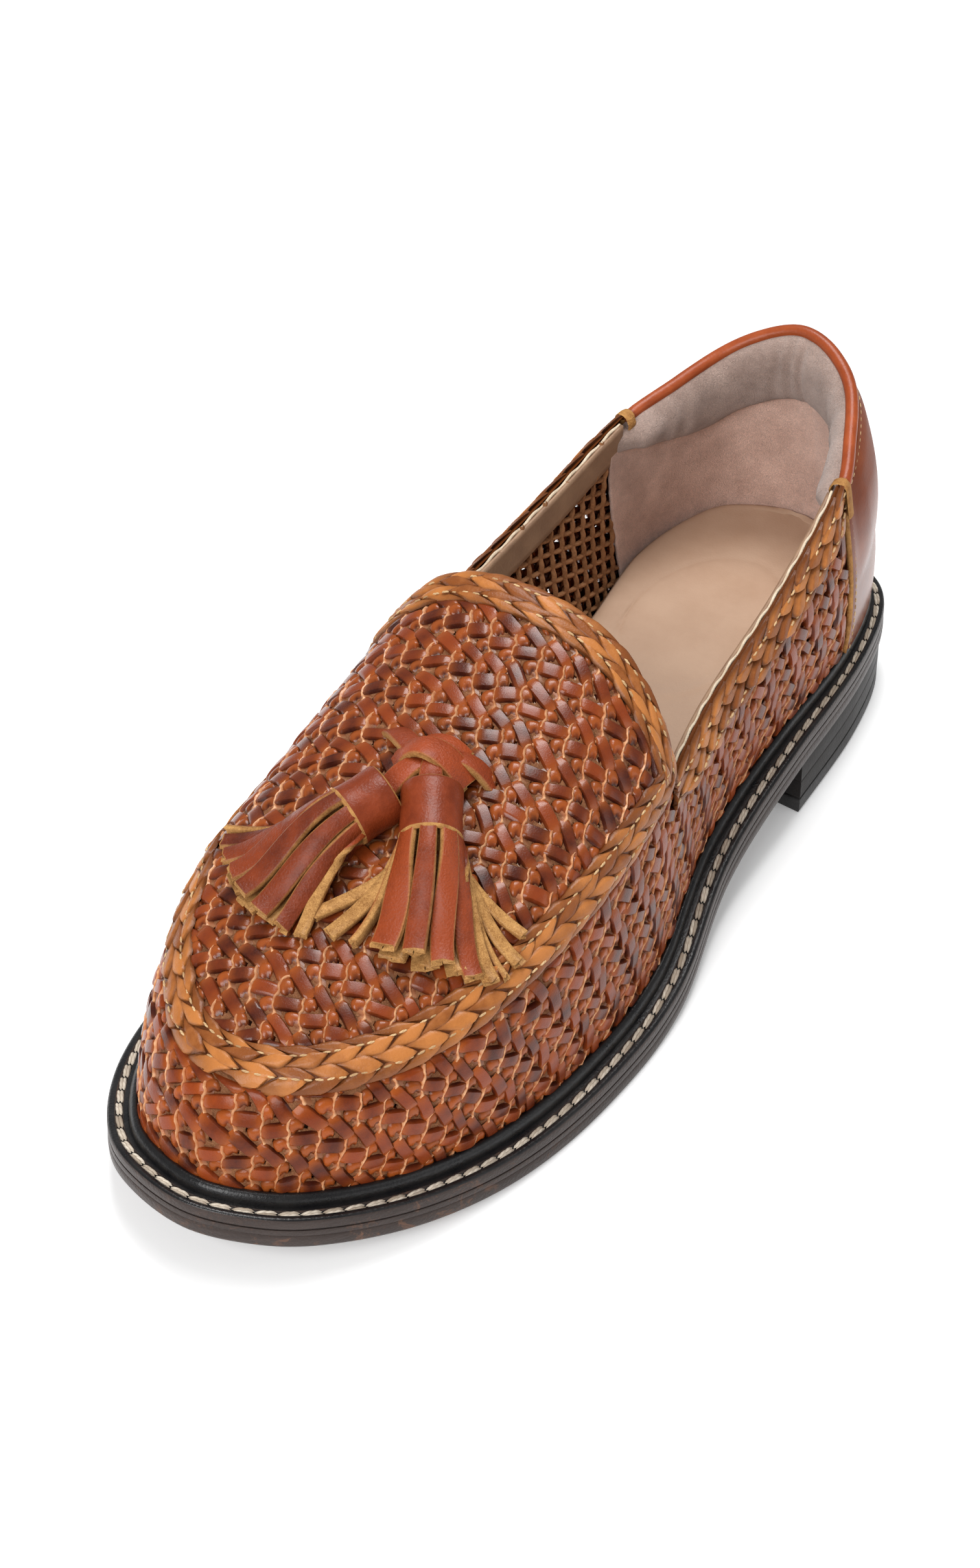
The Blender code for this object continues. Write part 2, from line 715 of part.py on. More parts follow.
def build_tassels(mat):
    for name, head_x, head_y, tip_x, tip_y, fan in TASSELS:
        sweep(name, tassel_loops(np.array([head_x, head_y]), np.array([tip_x, tip_y]), fan), mat)


def build_tie(mat):
    """Flat thong that comes out of the plug, bows over the tassels' heads and goes back in."""
    start, end = (np.array(p) for p in TIE_ENDS)
    across = np.array([0.0, 0.5 * TIE_WIDTH])
    loops = []
    for share in np.linspace(0.0, 1.0, 11):
        arc = math.sin(math.pi * share)
        plan = start + (end - start) * share - np.array([0.0, TIE_BOW * arc])
        front, back = on_plug(np.stack([plan - across, plan + across]))
        lift = STRIP_RISE + 3.0 * GAP + TIE_LIFT * arc
        top = lift + TIE_THICK
        loops.append([front + (0, 0, lift), front + (0, 0, top), back + (0, 0, top), back + (0, 0, lift)])
    sweep("tassel_tie", loops, mat)


def main():
    clear_scene()
    woven = material("woven_leather", (0.30, 0.085, 0.03), 0.35)
    plaited = material("plaited_leather", (0.38, 0.15, 0.05), 0.40)
    smooth_leather = material("smooth_leather", (0.22, 0.07, 0.03), 0.22)
    edge_leather = material("sole_leather", (0.022, 0.014, 0.011), 0.45)
    rubber = material("lift_rubber", (0.012, 0.011, 0.011), 0.60)
    lining = material("insole_leather", (0.66, 0.44, 0.30), 0.60)
    build_sole(edge_leather, rubber)
    build_welt(edge_leather)
    build_insole(lining)
    sheet = UpperSheet()
    build_braids(sheet, plaited)
    build_counter(sheet, smooth_leather)
    build_piping(sheet, smooth_leather)
    build_upper(sheet, woven)
    build_tassels(smooth_leather)
    build_tie(smooth_leather)


main()
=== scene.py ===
import math

import bmesh
import bpy
import numpy as np
from mathutils import Matrix


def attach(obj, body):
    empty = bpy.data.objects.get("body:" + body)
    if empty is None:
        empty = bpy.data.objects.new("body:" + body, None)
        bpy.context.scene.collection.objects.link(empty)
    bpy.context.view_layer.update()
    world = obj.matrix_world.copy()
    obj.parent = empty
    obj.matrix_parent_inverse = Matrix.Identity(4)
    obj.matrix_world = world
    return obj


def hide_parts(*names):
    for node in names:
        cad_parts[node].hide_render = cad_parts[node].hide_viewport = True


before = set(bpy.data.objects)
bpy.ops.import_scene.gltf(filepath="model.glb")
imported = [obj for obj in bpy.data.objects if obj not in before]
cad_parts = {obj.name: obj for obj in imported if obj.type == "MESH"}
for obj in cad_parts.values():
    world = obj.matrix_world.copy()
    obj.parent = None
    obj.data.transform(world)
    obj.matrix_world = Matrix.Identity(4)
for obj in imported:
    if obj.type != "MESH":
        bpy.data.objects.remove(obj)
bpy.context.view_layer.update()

# Woven tassel loafer, left shoe. Sizes are millimetres until a mesh is made; toe toward -Y, outer side +X.
MM = 0.001
UP = np.array([0.0, 0.0, 1.0])
SIDES = {1: "lateral", -1: "medial"}
chance = np.random.default_rng(11)

# Sole
LENGTH = 270.0
TOE_SPRING = 11.4
SPRING_END = 0.30
HEEL_RISE = 14.8
RISE_START = 0.38
RISE_END = 0.74
HEEL_BREAST = 0.73
BREAST_HOLLOW = 2.2
OUTSOLE = 5.0
LIFT = 4.0
HEEL_INSET = 0.6
WELT_TOP = 8.1
BEAD_TOP = 11.0
LIP_FRONT = 8.0
LIP_HEEL = 6.0
INSOLE_FRONT = 9.6
INSOLE_HEEL = 13.0
SOCK_INSET = 2.0
SOCK_THICK = 1.5
CUSHION_RISE = 3.0
CUSHION_PLACE = (-1.0, 78.0)
CUSHION_SIZE = (17.0, 27.0)
GAP = 0.3

# Upper
BACKING = 1.1
BACKING_LIFT = 0.45
TONGUE_CORNER = -5.0
TONGUE_ROUND = 7.5
CROWN_SKEW = 0.09
CROWN_POWER = 2.1
COUNTER_Y = 91.0
COUNTER_FOOT = 3.0
COUNTER_LIFT = 1.75
COUNTER_SWELL = 2.1
COUNTER_THICK = 1.3
LINING_Y = 84.0
LINING_FOOT = 4.0
LINING_DEPTH = 1.8
LINING_THICK = 0.8
BACK_SEAM = 0.47
PAD_FRONT = 5.0
PAD_DEEPER = 14.0
PAD_FILL = 4.6
PIPING_RADIUS = 1.55
PIPING_DROP = 5.3
PIPING_FADE = 5.0
PIPING_OUT = 0.9
PIPING_BACK = 1.3
BRAID_HALF = 3.7
BRAID_OVER = 0.8
BRAID_LEAN = 1.2

# Sections around the last: sole edge, wall top, swell low down, swell near the top
SECTION_COLUMNS = ("sole_x", "sole_y", "edge_x", "edge_y", "edge_z", "bulge", "shoulder")
SECTIONS = np.array([
    (0.0, -135.0, 1.0, -117.3, 42.0, 1.0, 5.0),
    (15.9, -129.6, 12.5, -114.5, 42.0, 1.0, 5.0),
    (27.4, -118.8, 22.0, -107.0, 42.0, 1.0, 4.5),
    (38.8, -99.9, 31.5, -94.0, 43.3, 1.5, 4.0),
    (46.9, -75.6, 39.0, -74.0, 47.0, 2.0, 3.0),
    (50.6, -45.9, 42.3, -46.0, 51.8, 2.5, 1.5),
    (49.4, -13.5, 40.5, -14.0, 55.8, 2.0, 1.0),
    (41.3, 21.6, 34.0, 21.0, 58.5, 3.0, 1.0),
    (38.7, 59.4, 31.5, 58.0, 64.5, 4.0, 1.5),
    (35.7, 94.5, 28.0, 92.0, 74.0, 4.0, 1.5),
    (29.3, 118.8, 20.0, 113.0, 82.0, 4.0, 1.5),
    (18.1, 129.6, 11.0, 121.5, 87.0, 4.0, 1.5),
    (0.0, 135.0, 0.0, 124.7, 88.6, 4.0, 1.5),
    (-17.5, 129.6, -11.0, 121.5, 84.8, 4.0, 1.5),
    (-27.0, 118.8, -20.0, 113.0, 79.0, 4.0, 1.5),
    (-32.0, 94.5, -28.0, 92.0, 72.0, 4.0, 1.5),
    (-30.0, 59.4, -31.0, 58.0, 65.5, 4.0, 1.5),
    (-33.0, 21.6, -33.5, 21.0, 60.2, 3.0, 1.0),
    (-41.1, -13.5, -34.8, -13.0, 57.5, 2.0, 1.0),
    (-45.7, -45.9, -35.5, -44.5, 53.5, 2.5, 1.5),
    (-46.2, -75.6, -35.0, -73.0, 48.5, 2.0, 3.0),
    (-40.8, -99.9, -29.0, -94.0, 44.3, 1.5, 4.0),
    (-30.6, -118.8, -20.0, -107.3, 42.3, 1.0, 4.5),
    (-18.6, -129.6, -10.5, -114.8, 42.0, 1.0, 5.0),
])
TURN = len(SECTIONS)
HEEL_U = TURN / 2.0

# Plug: place along the shoe, crown height there and how full its arch is
CROWN = np.array([
    (-117.3, 42.0, 0.75),
    (-108.0, 48.0, 0.72),
    (-95.0, 53.5, 0.70),
    (-75.0, 60.0, 0.66),
    (-40.0, 71.5, 0.58),
    (-14.0, 80.8, 0.52),
    (2.0, 87.0, 0.50),
])


def smooth(t):
    t = np.clip(t, 0.0, 1.0)
    return t * t * (3.0 - 2.0 * t)


def bell(x, middle, width):
    return np.exp(-((x - middle) / width) ** 2)


def near_end(share):
    """Distance of a share, 0 to 1, from its nearer end."""
    return np.minimum(share, 1.0 - share)


def unit(v):
    return v / np.maximum(np.linalg.norm(v, axis=-1, keepdims=True), 1e-9)


def columns(*values):
    """Values set side by side as coordinates of points."""
    return np.stack(np.broadcast_arrays(*values), -1)


def left_of(v):
    """Flat directions turned a quarter to the left."""
    return columns(-v[..., 1], v[..., 0])


def turned(places, degrees):
    a = math.radians(degrees)
    return places @ np.array([[math.cos(a), math.sin(a)], [-math.sin(a), math.cos(a)]])


def bezier(points, count=24):
    t = np.linspace(0.0, 1.0, count)[:, None]
    a, b, c, d = points
    return a * (1 - t) ** 3 + 3 * b * t * (1 - t) ** 2 + 3 * c * t ** 2 * (1 - t) + d * t ** 3


def run_of(points):
    """Distance along a polyline at each of its points."""
    steps = np.linalg.norm(np.diff(points, axis=0), axis=1)
    return np.concatenate([[0.0], np.cumsum(steps)])


def sampled(at, run, rows):
    """Rows of a table, read at distances along its run."""
    return np.stack([np.interp(at, run, column) for column in rows.T], -1)


def stretched(points, lengths):
    """Points at distances along a polyline, carried on straight beyond its ends."""
    run = run_of(points)
    before = np.minimum(lengths, 0.0)[:, None] * unit(points[1] - points[0])
    beyond = np.maximum(lengths - run[-1], 0.0)[:, None] * unit(points[-1] - points[-2])
    return sampled(lengths, run, points) + before + beyond


def in_chunks(points, work, size=3000):
    """Result of work on many points, a few at a time."""
    return np.concatenate([work(points[k:k + size]) for k in range(0, len(points), size)])


# The last

def underside(y):
    """Height of the outsole's underside: toe spring, flat tread, arch, heel seat."""
    share = np.asarray(y) / LENGTH + 0.5
    spring = TOE_SPRING * np.clip((SPRING_END - share) / SPRING_END, 0.0, None) ** 2
    return spring + HEEL_RISE * smooth((share - RISE_START) / (RISE_END - RISE_START))


def section(u, *names):
    """Values of the section table at u, on a closed smooth curve through its rows."""
    u = np.asarray(u, float) % TURN
    row = np.floor(u).astype(int)
    t = (u - row)[..., None]
    before, here, after, later = (SECTIONS[(row + k) % TURN] for k in (-1, 0, 1, 2))
    values = 0.5 * (2.0 * here + (after - before) * t
                    + (2.0 * before - 5.0 * here + 4.0 * after - later) * t ** 2
                    + (3.0 * here - before - 3.0 * after + later) * t ** 3)
    return values[..., [SECTION_COLUMNS.index(name) for name in names]]


def halves(count):
    """Places in the section table along the outer and the inner side, toe to heel."""
    return np.linspace(0.0, HEEL_U, count), np.linspace(TURN, HEEL_U, count)


def outward(u):
    ahead, behind = (section(np.asarray(u) + step, "sole_x", "sole_y") for step in (0.01, -0.01))
    return unit(-left_of(ahead - behind))


sole_x = section(np.linspace(0.0, TURN, 40 * TURN), "sole_x")
SECTIONS[:, [0, 2]] -= 0.5 * (sole_x.max() + sole_x.min())


def lip(y):
    """Width of the sole's edge outside the upper."""
    return LIP_FRONT + (LIP_HEEL - LIP_FRONT) * smooth((y - 40.0) / 60.0)


def sole_point(u, inset, height):
    """Point inside the sole's edge, at a height above the underside."""
    plan = section(u, "sole_x", "sole_y") - outward(u) * np.asarray(inset)[..., None]
    return np.concatenate([plan, (underside(plan[..., 1]) + height)[..., None]], -1)


def feather(u):
    """Line where the upper meets the welt."""
    return sole_point(u, lip(section(u, "sole_y")[..., 0]), OUTSOLE + GAP)


def edge(u):
    """Top of the wall: apron line in front, topline behind, lower where the piping sits."""
    top = section(u, "edge_x", "edge_y", "edge_z")
    top[..., 2] -= PIPING_DROP * smooth((top[..., 1] - COUNTER_Y) / PIPING_FADE)
    return top


def wall_curve(u):
    """Points up the wall at one place, from feather to edge."""
    bulge, shoulder = section(u, "bulge", "shoulder")
    low = feather(u)
    top = edge(u)
    out = np.append(outward(u), 0.0)
    rise = UP * (top[2] - low[2])
    return bezier((low, low + out * bulge + 0.42 * rise, top + out * shoulder - 0.25 * rise, top), 40)


def border_at(y):
    """Apron line's x and z on the outer and the inner side at y."""
    lines = (edge(us) for us in halves(1200))
    return [[np.interp(y, line[:, 1], line[:, k]) for k in (0, 2)] for line in lines]


def plug_height(x, y):
    (outer_x, outer_z), (inner_x, inner_z) = border_at(y)
    across = np.clip((2.0 * x - outer_x - inner_x) / np.maximum(outer_x - inner_x, 0.5), -1.0, 1.0)
    skewed = across + CROWN_SKEW * (1.0 - across ** 2)
    base = 0.5 * (outer_z * (1.0 + across) + inner_z * (1.0 - across))
    crown, arch = (np.interp(y, CROWN[:, 0], CROWN[:, k]) for k in (1, 2))
    middle = 0.5 * (outer_z + inner_z)
    return base + (crown - middle) * np.clip(1.0 - np.abs(skewed) ** CROWN_POWER, 0.0, None) ** arch


def on_plug(plan):
    x, y = plan[..., 0], plan[..., 1]
    return columns(x, y, plug_height(x, y))


# Skins: sheets of the upper that flat patterns are laid on

class Skin:
    """Table of points over a sheet: s runs along it, t runs up it, in millimetres."""

    def __init__(self, s, t, points):
        self.s = s
        self.t = t
        self.points = points
        self.normals = unit(np.cross(np.gradient(points, s, axis=0), np.gradient(points, t, axis=1)))

    def blend(self, table, s, t):
        fs = np.interp(s, self.s, np.arange(len(self.s)))
        ft = np.interp(t, self.t, np.arange(len(self.t)))
        i = np.clip(np.floor(fs).astype(int), 0, len(self.s) - 2)
        j = np.clip(np.floor(ft).astype(int), 0, len(self.t) - 2)
        a = (fs - i)[..., None]
        b = (ft - j)[..., None]
        low = table[i, j] * (1 - a) + table[i + 1, j] * a
        high = table[i, j + 1] * (1 - a) + table[i + 1, j + 1] * a
        return low * (1 - b) + high * b

    def at(self, s, t, height):
        normal = unit(self.blend(self.normals, s, t))
        return self.blend(self.points, s, t) + normal * np.asarray(height)[..., None]


def wall_skin():
    """Wall of the upper: s from the toe, outer side positive, t up from the feather line."""
    us = np.linspace(-HEEL_U, HEEL_U, 721)
    s = run_of(0.5 * (feather(us) + edge(us)))
    s -= s[len(us) // 2]
    t = np.arange(-2.0, 90.0, 0.75)
    curves = [wall_curve(u) for u in us]
    total = np.array([run_of(curve)[-1] for curve in curves])
    return Skin(s, t, np.stack([stretched(curve, t) for curve in curves])), us, total


def plug_skin():
    """Plug: s across from its ridge, t along its crown toward the heel."""
    ys = np.concatenate([np.linspace(-117.2, -105.0, 60), np.linspace(-104.5, 8.0, 226)])
    s = np.arange(-75.0, 75.5, 0.75)
    (outer_x, _), (inner_x, _) = border_at(ys)
    share = np.sin(np.linspace(-0.5, 0.5, 161) * math.pi)
    rows = []
    reach = []
    for y, outer, inner in zip(ys, outer_x, inner_x):
        row = on_plug(columns(0.5 * (outer + inner) + 0.5 * (outer - inner) * share, y))
        run = run_of(row)
        ridge = run[np.argmin(np.abs(share + CROWN_SKEW))]
        rows.append(stretched(row, s + ridge))
        reach.append((-ridge, run[-1] - ridge))
    t = run_of(columns(ys, np.interp(ys, CROWN[:, 0], CROWN[:, 1])))
    t -= np.interp(0.0, ys, t)
    front = rows[0] + np.array([0.0, -3.0, -3.0])
    return Skin(s, np.concatenate([[t[0] - 4.2], t]), np.stack([front] + rows, 1)), ys, np.array(reach)


wall, wall_u, wall_total = wall_skin()
plug, plug_y, plug_reach = plug_skin()


def total_at(s):
    """Height of the wall, measured up its surface."""
    return np.interp(s, wall.s, wall_total)


def rim_at(s):
    """Height of the wall's top before it drops for the piping."""
    y = np.interp(s, wall.s, edge(wall_u)[:, 1])
    return total_at(s) + PIPING_DROP * smooth((y - COUNTER_Y) / PIPING_FADE)


def along_at(y):
    """Distance from the toe where the wall's top passes y, on each side."""
    found = {}
    for side in SIDES:
        us = np.linspace(0.0, HEEL_U, 1500) * side
        found[side] = np.interp(np.interp(y, edge(us)[:, 1], us), wall_u, wall.s)
    return found


COUNTER_S = along_at(COUNTER_Y)
LINING_S = along_at(LINING_Y)
TONGUE_S = along_at(TONGUE_CORNER + 3.0)


class Strip:
    """Line over a skin with a width: l runs along it, w to its left; a lean lifts its lower edge."""

    def __init__(self, skin, line, closed=False, lean=0.0):
        self.skin = skin
        self.closed = closed
        self.lean = lean
        self.line = line
        self.run = run_of(line)
        self.length = self.run[-1]
        if closed:
            tangent = unit(np.roll(line[:-1], -1, axis=0) - np.roll(line[:-1], 1, axis=0))
            tangent = np.concatenate([tangent, tangent[:1]])
        else:
            tangent = unit(np.gradient(line, axis=0))
        self.left = left_of(tangent)

    def at(self, l, w, height):
        if self.closed:
            l = np.asarray(l) % self.length
        left = unit(sampled(l, self.run, self.left))
        flat = sampled(l, self.run, self.line) + left * np.asarray(w)[..., None]
        if self.lean:
            low = np.clip(0.5 - 0.5 * math.copysign(1.0, self.lean) * np.asarray(w) / BRAID_HALF, 0.0, 1.1)
            ends = smooth(l / 14.0) * smooth((self.length - l) / 12.0)
            height = height * (1.0 + abs(self.lean) * low * ends)
        return self.skin.at(flat[..., 0], flat[..., 1], height)


def apron_loop():
    """Border of the plug: outer side to the toe, inner side back, then the tongue's rear edge."""
    t = plug.t[1:]
    front = plug_y <= TONGUE_CORNER
    inner, outer = (columns(plug_reach[front, k], t[front]) for k in (0, 1))
    across = np.linspace(-1.0, 1.0, 121)
    y = TONGUE_CORNER + TONGUE_ROUND * (1.0 - np.abs(np.sin(0.5 * across * math.pi)) ** 5)
    s = np.array([np.interp(v, (-1.0, 1.0), plug_reach[np.argmin(np.abs(plug_y - row))])
                  for v, row in zip(across, y)])
    rear = columns(s, np.interp(y, plug_y, t))
    loop = np.concatenate([outer[::-1], inner[1:], rear[1:]])
    lengths = np.linspace(0.0, 1.0, 401)[:-1] * run_of(loop)[-1]
    even = stretched(np.concatenate([loop, loop[:1]]), lengths)
    for _ in range(10):
        even = 0.5 * even + 0.25 * (np.roll(even, 1, axis=0) + np.roll(even, -1, axis=0))
    return np.concatenate([even, even[:1]])


def braid_middle():
    """Middle line of the apron braid: inside the border, but over its far side along the inner wall."""
    s, t = plug_border[:, 0], plug_border[:, 1]
    inner = smooth((-s - 8.0) / 14.0) * smooth((t + 88.0) / 22.0) * smooth((-2.0 - t) / 10.0)
    inset = BRAID_HALF - 0.9 - 5.2 * inner
    moved = plug_border - Strip(plug, plug_border, closed=True).left * inset[:, None]
    return stretched(moved, np.linspace(0.0, 1.0, 401) * run_of(moved)[-1])


plug_border = apron_loop()
plait_line = braid_middle()


def border_gap(flat, border):
    """Distance of points of the plug from a closed line, positive inside."""
    ring = border[:-1]
    ahead = np.roll(ring, -1, axis=0)
    climb = np.where(ahead[:, 1] == ring[:, 1], 1e-9, ahead[:, 1] - ring[:, 1])

    def gap(part):
        x, y = part[:, :1], part[:, 1:]
        crosses = (ring[:, 1] > y) != (ahead[:, 1] > y)
        reach = ring[:, 0] + (y - ring[:, 1]) / climb * (ahead[:, 0] - ring[:, 0])
        within = np.count_nonzero(crosses & (reach > x), axis=1) % 2 == 1
        apart = np.hypot(ring[:, 0] - x, ring[:, 1] - y).min(axis=1)
        return np.where(within, apart, -apart)

    return in_chunks(flat, gap)


class Pattern:
    """Flat pattern of the vamp: bent around the toe, straight along both sides."""

    SPLAY = math.radians(61.0)
    TOE_BEND = 130.0
    MIDDLE_T = 23.0

    def __init__(self):
        self.s = np.arange(-225.0, 225.5, 0.5)
        share = np.clip(self.s / self.TOE_BEND, -1.0, 1.0)
        bend = self.SPLAY * (1.5 * share - 0.5 * share ** 3)
        self.tangent = columns(np.cos(bend), np.sin(bend))
        self.left = left_of(self.tangent)
        self.line = np.cumsum(self.tangent * 0.5, axis=0)
        self.line -= self.line[len(self.s) // 2]

    def place(self, part):
        gap = (part[:, :1] - self.line[:, 0]) ** 2 + (part[:, 1:] - self.line[:, 1]) ** 2
        k = np.argmin(gap, axis=1)
        off = part - self.line[k]
        up = self.MIDDLE_T + np.sum(off * self.left[k], -1)
        return columns(self.s[k] + np.sum(off * self.tangent[k], -1), up)

    def to_skin(self, flat):
        """Place on the wall, along and up, of points of the flat pattern."""
        return in_chunks(flat.reshape(-1, 2), self.place).reshape(flat.shape)


pattern = Pattern()


# Mesh helpers

def unit_grid(along, across):
    """Places, -1 to 1, and faces of a flat grid."""
    bm = bmesh.new()
    bmesh.ops.create_grid(bm, x_segments=along, y_segments=across, size=1.0)
    bm.verts.index_update()
    places = np.array([v.co[:2] for v in bm.verts])
    faces = np.array([[v.index for v in f.verts] for f in bm.faces])
    bm.free()
    return places, faces


def link(name, data):
    obj = bpy.data.objects.new(name, data)
    bpy.context.collection.objects.link(obj)
    return obj


def add_piece(name, mesh, sharp, finish, slot, nodes):
    """Link a finished mesh as a piece that rides with the shoe."""
    mesh.shade_smooth()
    mesh.set_sharp_from_angle(angle=math.radians(sharp))
    mesh.materials.append(finish)
    obj = link(name, mesh)
    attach(obj, "root")
    if nodes:
        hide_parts(*nodes)
    return obj


def thicken(obj, thickness):
    solid = obj.modifiers.new("thickness", "SOLIDIFY")
    solid.thickness = thickness * MM
    solid.offset = -1.0


def formed(name, along, across, shape, finish, slot, nodes=(), thickness=0.0, flip=False, sharp=50.0,
           weld=False):
    """Grid laid on a shape: shape(a, b) gives millimetres for shares 0 to 1 along and across."""
    bm = bmesh.new()
    bmesh.ops.create_grid(bm, x_segments=along, y_segments=across, size=0.5)
    shares = np.array([v.co[:2] for v in bm.verts]) + 0.5
    for v, place in zip(bm.verts, shape(shares[:, 0], shares[:, 1]) * MM):
        v.co = place
    bmesh.ops.remove_doubles(bm, verts=bm.verts, dist=1e-6)
    if weld:
        bmesh.ops.recalc_face_normals(bm, faces=bm.faces)
    if flip:
        bmesh.ops.reverse_faces(bm, faces=bm.faces)
    mesh = bpy.data.meshes.new(name)
    bm.to_mesh(mesh)
    bm.free()
    obj = add_piece(name, mesh, sharp, finish, slot, nodes)
    if thickness:
        thicken(obj, thickness)
    return obj


def formed_rows(name, rows, finish, slot, nodes, sharp=50.0):
    """Closed shape from a table of points, along its first axis and across its second."""
    along, across = rows.shape[0] - 1, rows.shape[1] - 1

    def shape(a, b):
        return rows[np.round(a * along).astype(int), np.round(b * across).astype(int)]

    return formed(name, along, across, shape, finish, slot, nodes, sharp=sharp, weld=True)


class Joined:
    """Many small shapes gathered into one mesh; each point carries three marks for its finish."""

    def __init__(self):
        self.points = []
        self.faces = []
        self.marks = []
        self.count = 0

    def add(self, points, faces, marks):
        shapes, each = points.shape[:2]
        first = self.count + each * np.arange(shapes)[:, None, None]
        self.faces.append((faces[None] + first).reshape(-1, faces.shape[-1]))
        self.points.append(points.reshape(-1, 3))
        self.marks.append(np.broadcast_to(marks, points.shape).reshape(-1, 3))
        self.count += shapes * each

    def piece(self, name, finish, slot, nodes=()):
        mesh = bpy.data.meshes.new(name)
        points = np.concatenate(self.points) * MM
        mesh.from_pydata(points.tolist(), [], np.concatenate(self.faces).tolist())
        layer = mesh.color_attributes.new("marks", "FLOAT_COLOR", "POINT")
        colours = np.concatenate([np.concatenate(self.marks), np.ones((len(points), 1))], -1)
        layer.data.foreach_set("color", colours.ravel())
        return add_piece(name, mesh, 60.0, finish, slot, nodes)


# Finishes

def texture(tree, kind, place, scale, **settings):
    made = tree.nodes.new(kind)
    for key, value in settings.items():
        made.inputs[key].default_value = value
    tree.links.new(place, made.inputs["Vector"])
    if isinstance(scale, bpy.types.NodeSocket):
        tree.links.new(scale, made.inputs["Scale"])
    else:
        made.inputs["Scale"].default_value = scale
    return made.outputs["Distance" if "Voronoi" in kind else "Fac"]


def start_group(name, *inputs):
    """Shader group with two sizes in and a fine height and broad patches out."""
    tree = bpy.data.node_groups.new(name, "ShaderNodeTree")
    for label in inputs:
        tree.interface.new_socket(label, in_out="INPUT", socket_type="NodeSocketFloat")
    for label in ("Height", "Patches"):
        tree.interface.new_socket(label, in_out="OUTPUT", socket_type="NodeSocketFloat")
    place = tree.nodes.new("ShaderNodeTexCoord").outputs["Object"]
    return tree, place, tree.nodes.new("NodeGroupInput").outputs, tree.nodes.new("NodeGroupOutput").inputs


def make_grain_group():
    """Leather grain: fine pebbles with pores, and a broad mottle of the dye."""
    tree, place, given, put = start_group("leather_grain", "Fine", "Broad")
    both = tree.nodes.new("ShaderNodeMath")
    both.operation = "ADD"
    tree.links.new(texture(tree, "ShaderNodeTexVoronoi", place, given["Fine"]), both.inputs[0])
    tree.links.new(texture(tree, "ShaderNodeTexNoise", place, 4200.0, Detail=2.0), both.inputs[1])
    tree.links.new(both.outputs[0], put["Height"])
    mottle = texture(tree, "ShaderNodeTexNoise", place, given["Broad"], Detail=4.0, Roughness=0.6)
    tree.links.new(mottle, put["Patches"])


def make_nap_group():
    """Suede: short fibres that lie in small swirls, and broad brushed patches."""
    tree, place, given, put = start_group("suede_nap", "Fine", "Broad")
    fibres = texture(tree, "ShaderNodeTexNoise", place, given["Fine"], Detail=4.0, Distortion=1.2)
    brushed = texture(tree, "ShaderNodeTexNoise", place, given["Broad"], Detail=5.0, Roughness=0.7)
    tree.links.new(fibres, put["Height"])
    tree.links.new(brushed, put["Patches"])


class Finish:
    """A material under construction; plain colours are given as three numbers."""

    def __init__(self, name, **values):
        self.mat = bpy.data.materials.new(name)
        self.mat.use_nodes = True
        self.tree = self.mat.node_tree
        self.shader = self.tree.nodes["Principled BSDF"]
        for socket, value in values.items():
            self.feed(self.shader.inputs[socket.replace("_", " ")], value)

    def node(self, kind, **settings):
        made = self.tree.nodes.new(kind)
        for key, value in settings.items():
            setattr(made, key, value)
        return made

    def feed(self, socket, value):
        """Give a socket another socket's value, or a plain one."""
        if isinstance(value, bpy.types.NodeSocket):
            self.tree.links.new(value, socket)
        elif isinstance(value, tuple):
            socket.default_value = (*value, 1.0)
        else:
            socket.default_value = value

    def group(self, name, fine, broad):
        """Fine height and broad patches of a shared effect, at two sizes."""
        made = self.node("ShaderNodeGroup", node_tree=bpy.data.node_groups[name])
        self.feed(made.inputs["Fine"], fine)
        self.feed(made.inputs["Broad"], broad)
        return made.outputs["Height"], made.outputs["Patches"]

    def mix(self, share, first, second, way="MIX"):
        made = self.node("ShaderNodeMix", data_type="RGBA", blend_type=way)
        self.feed(made.inputs[0], share)
        self.feed(made.inputs[6], first)
        self.feed(made.inputs[7], second)
        return made.outputs[2]

    def sum(self, first, second, way="ADD"):
        made = self.node("ShaderNodeMath", operation=way)
        self.feed(made.inputs[0], first)
        self.feed(made.inputs[1], second)
        return made.outputs[0]

    def spread(self, value, low, high, start=0.0, end=1.0):
        """A value from start to end, spread from low to high."""
        made = self.node("ShaderNodeMapRange")
        for socket, given in zip(made.inputs, (value, start, end, low, high)):
            self.feed(socket, given)
        return made.outputs["Result"]

    def share(self, value, start, end):
        return self.spread(value, 0.0, 1.0, start, end)

    def marks(self):
        """The three marks that each point of a joined piece carries."""
        read = self.node("ShaderNodeAttribute", attribute_name="marks")
        parts = self.node("ShaderNodeSeparateColor")
        self.feed(parts.inputs[0], read.outputs["Color"])
        return parts.outputs[:3]

    def place(self):
        """Object coordinates, whole and in three parts."""
        place = self.node("ShaderNodeTexCoord").outputs["Object"]
        parts = self.node("ShaderNodeSeparateXYZ")
        self.feed(parts.inputs[0], place)
        return place, parts.outputs

    def relief(self, height, depth, strength=1.0):
        bump = self.node("ShaderNodeBump")
        bump.inputs["Strength"].default_value = strength
        bump.inputs["Distance"].default_value = depth * MM
        self.feed(bump.inputs["Height"], height)
        self.feed(self.shader.inputs["Normal"], bump.outputs["Normal"])

    def colour(self, value):
        self.feed(self.shader.inputs["Base Color"], value)

    def rough(self, value):
        self.feed(self.shader.inputs["Roughness"], value)


make_grain_group()
make_nap_group()


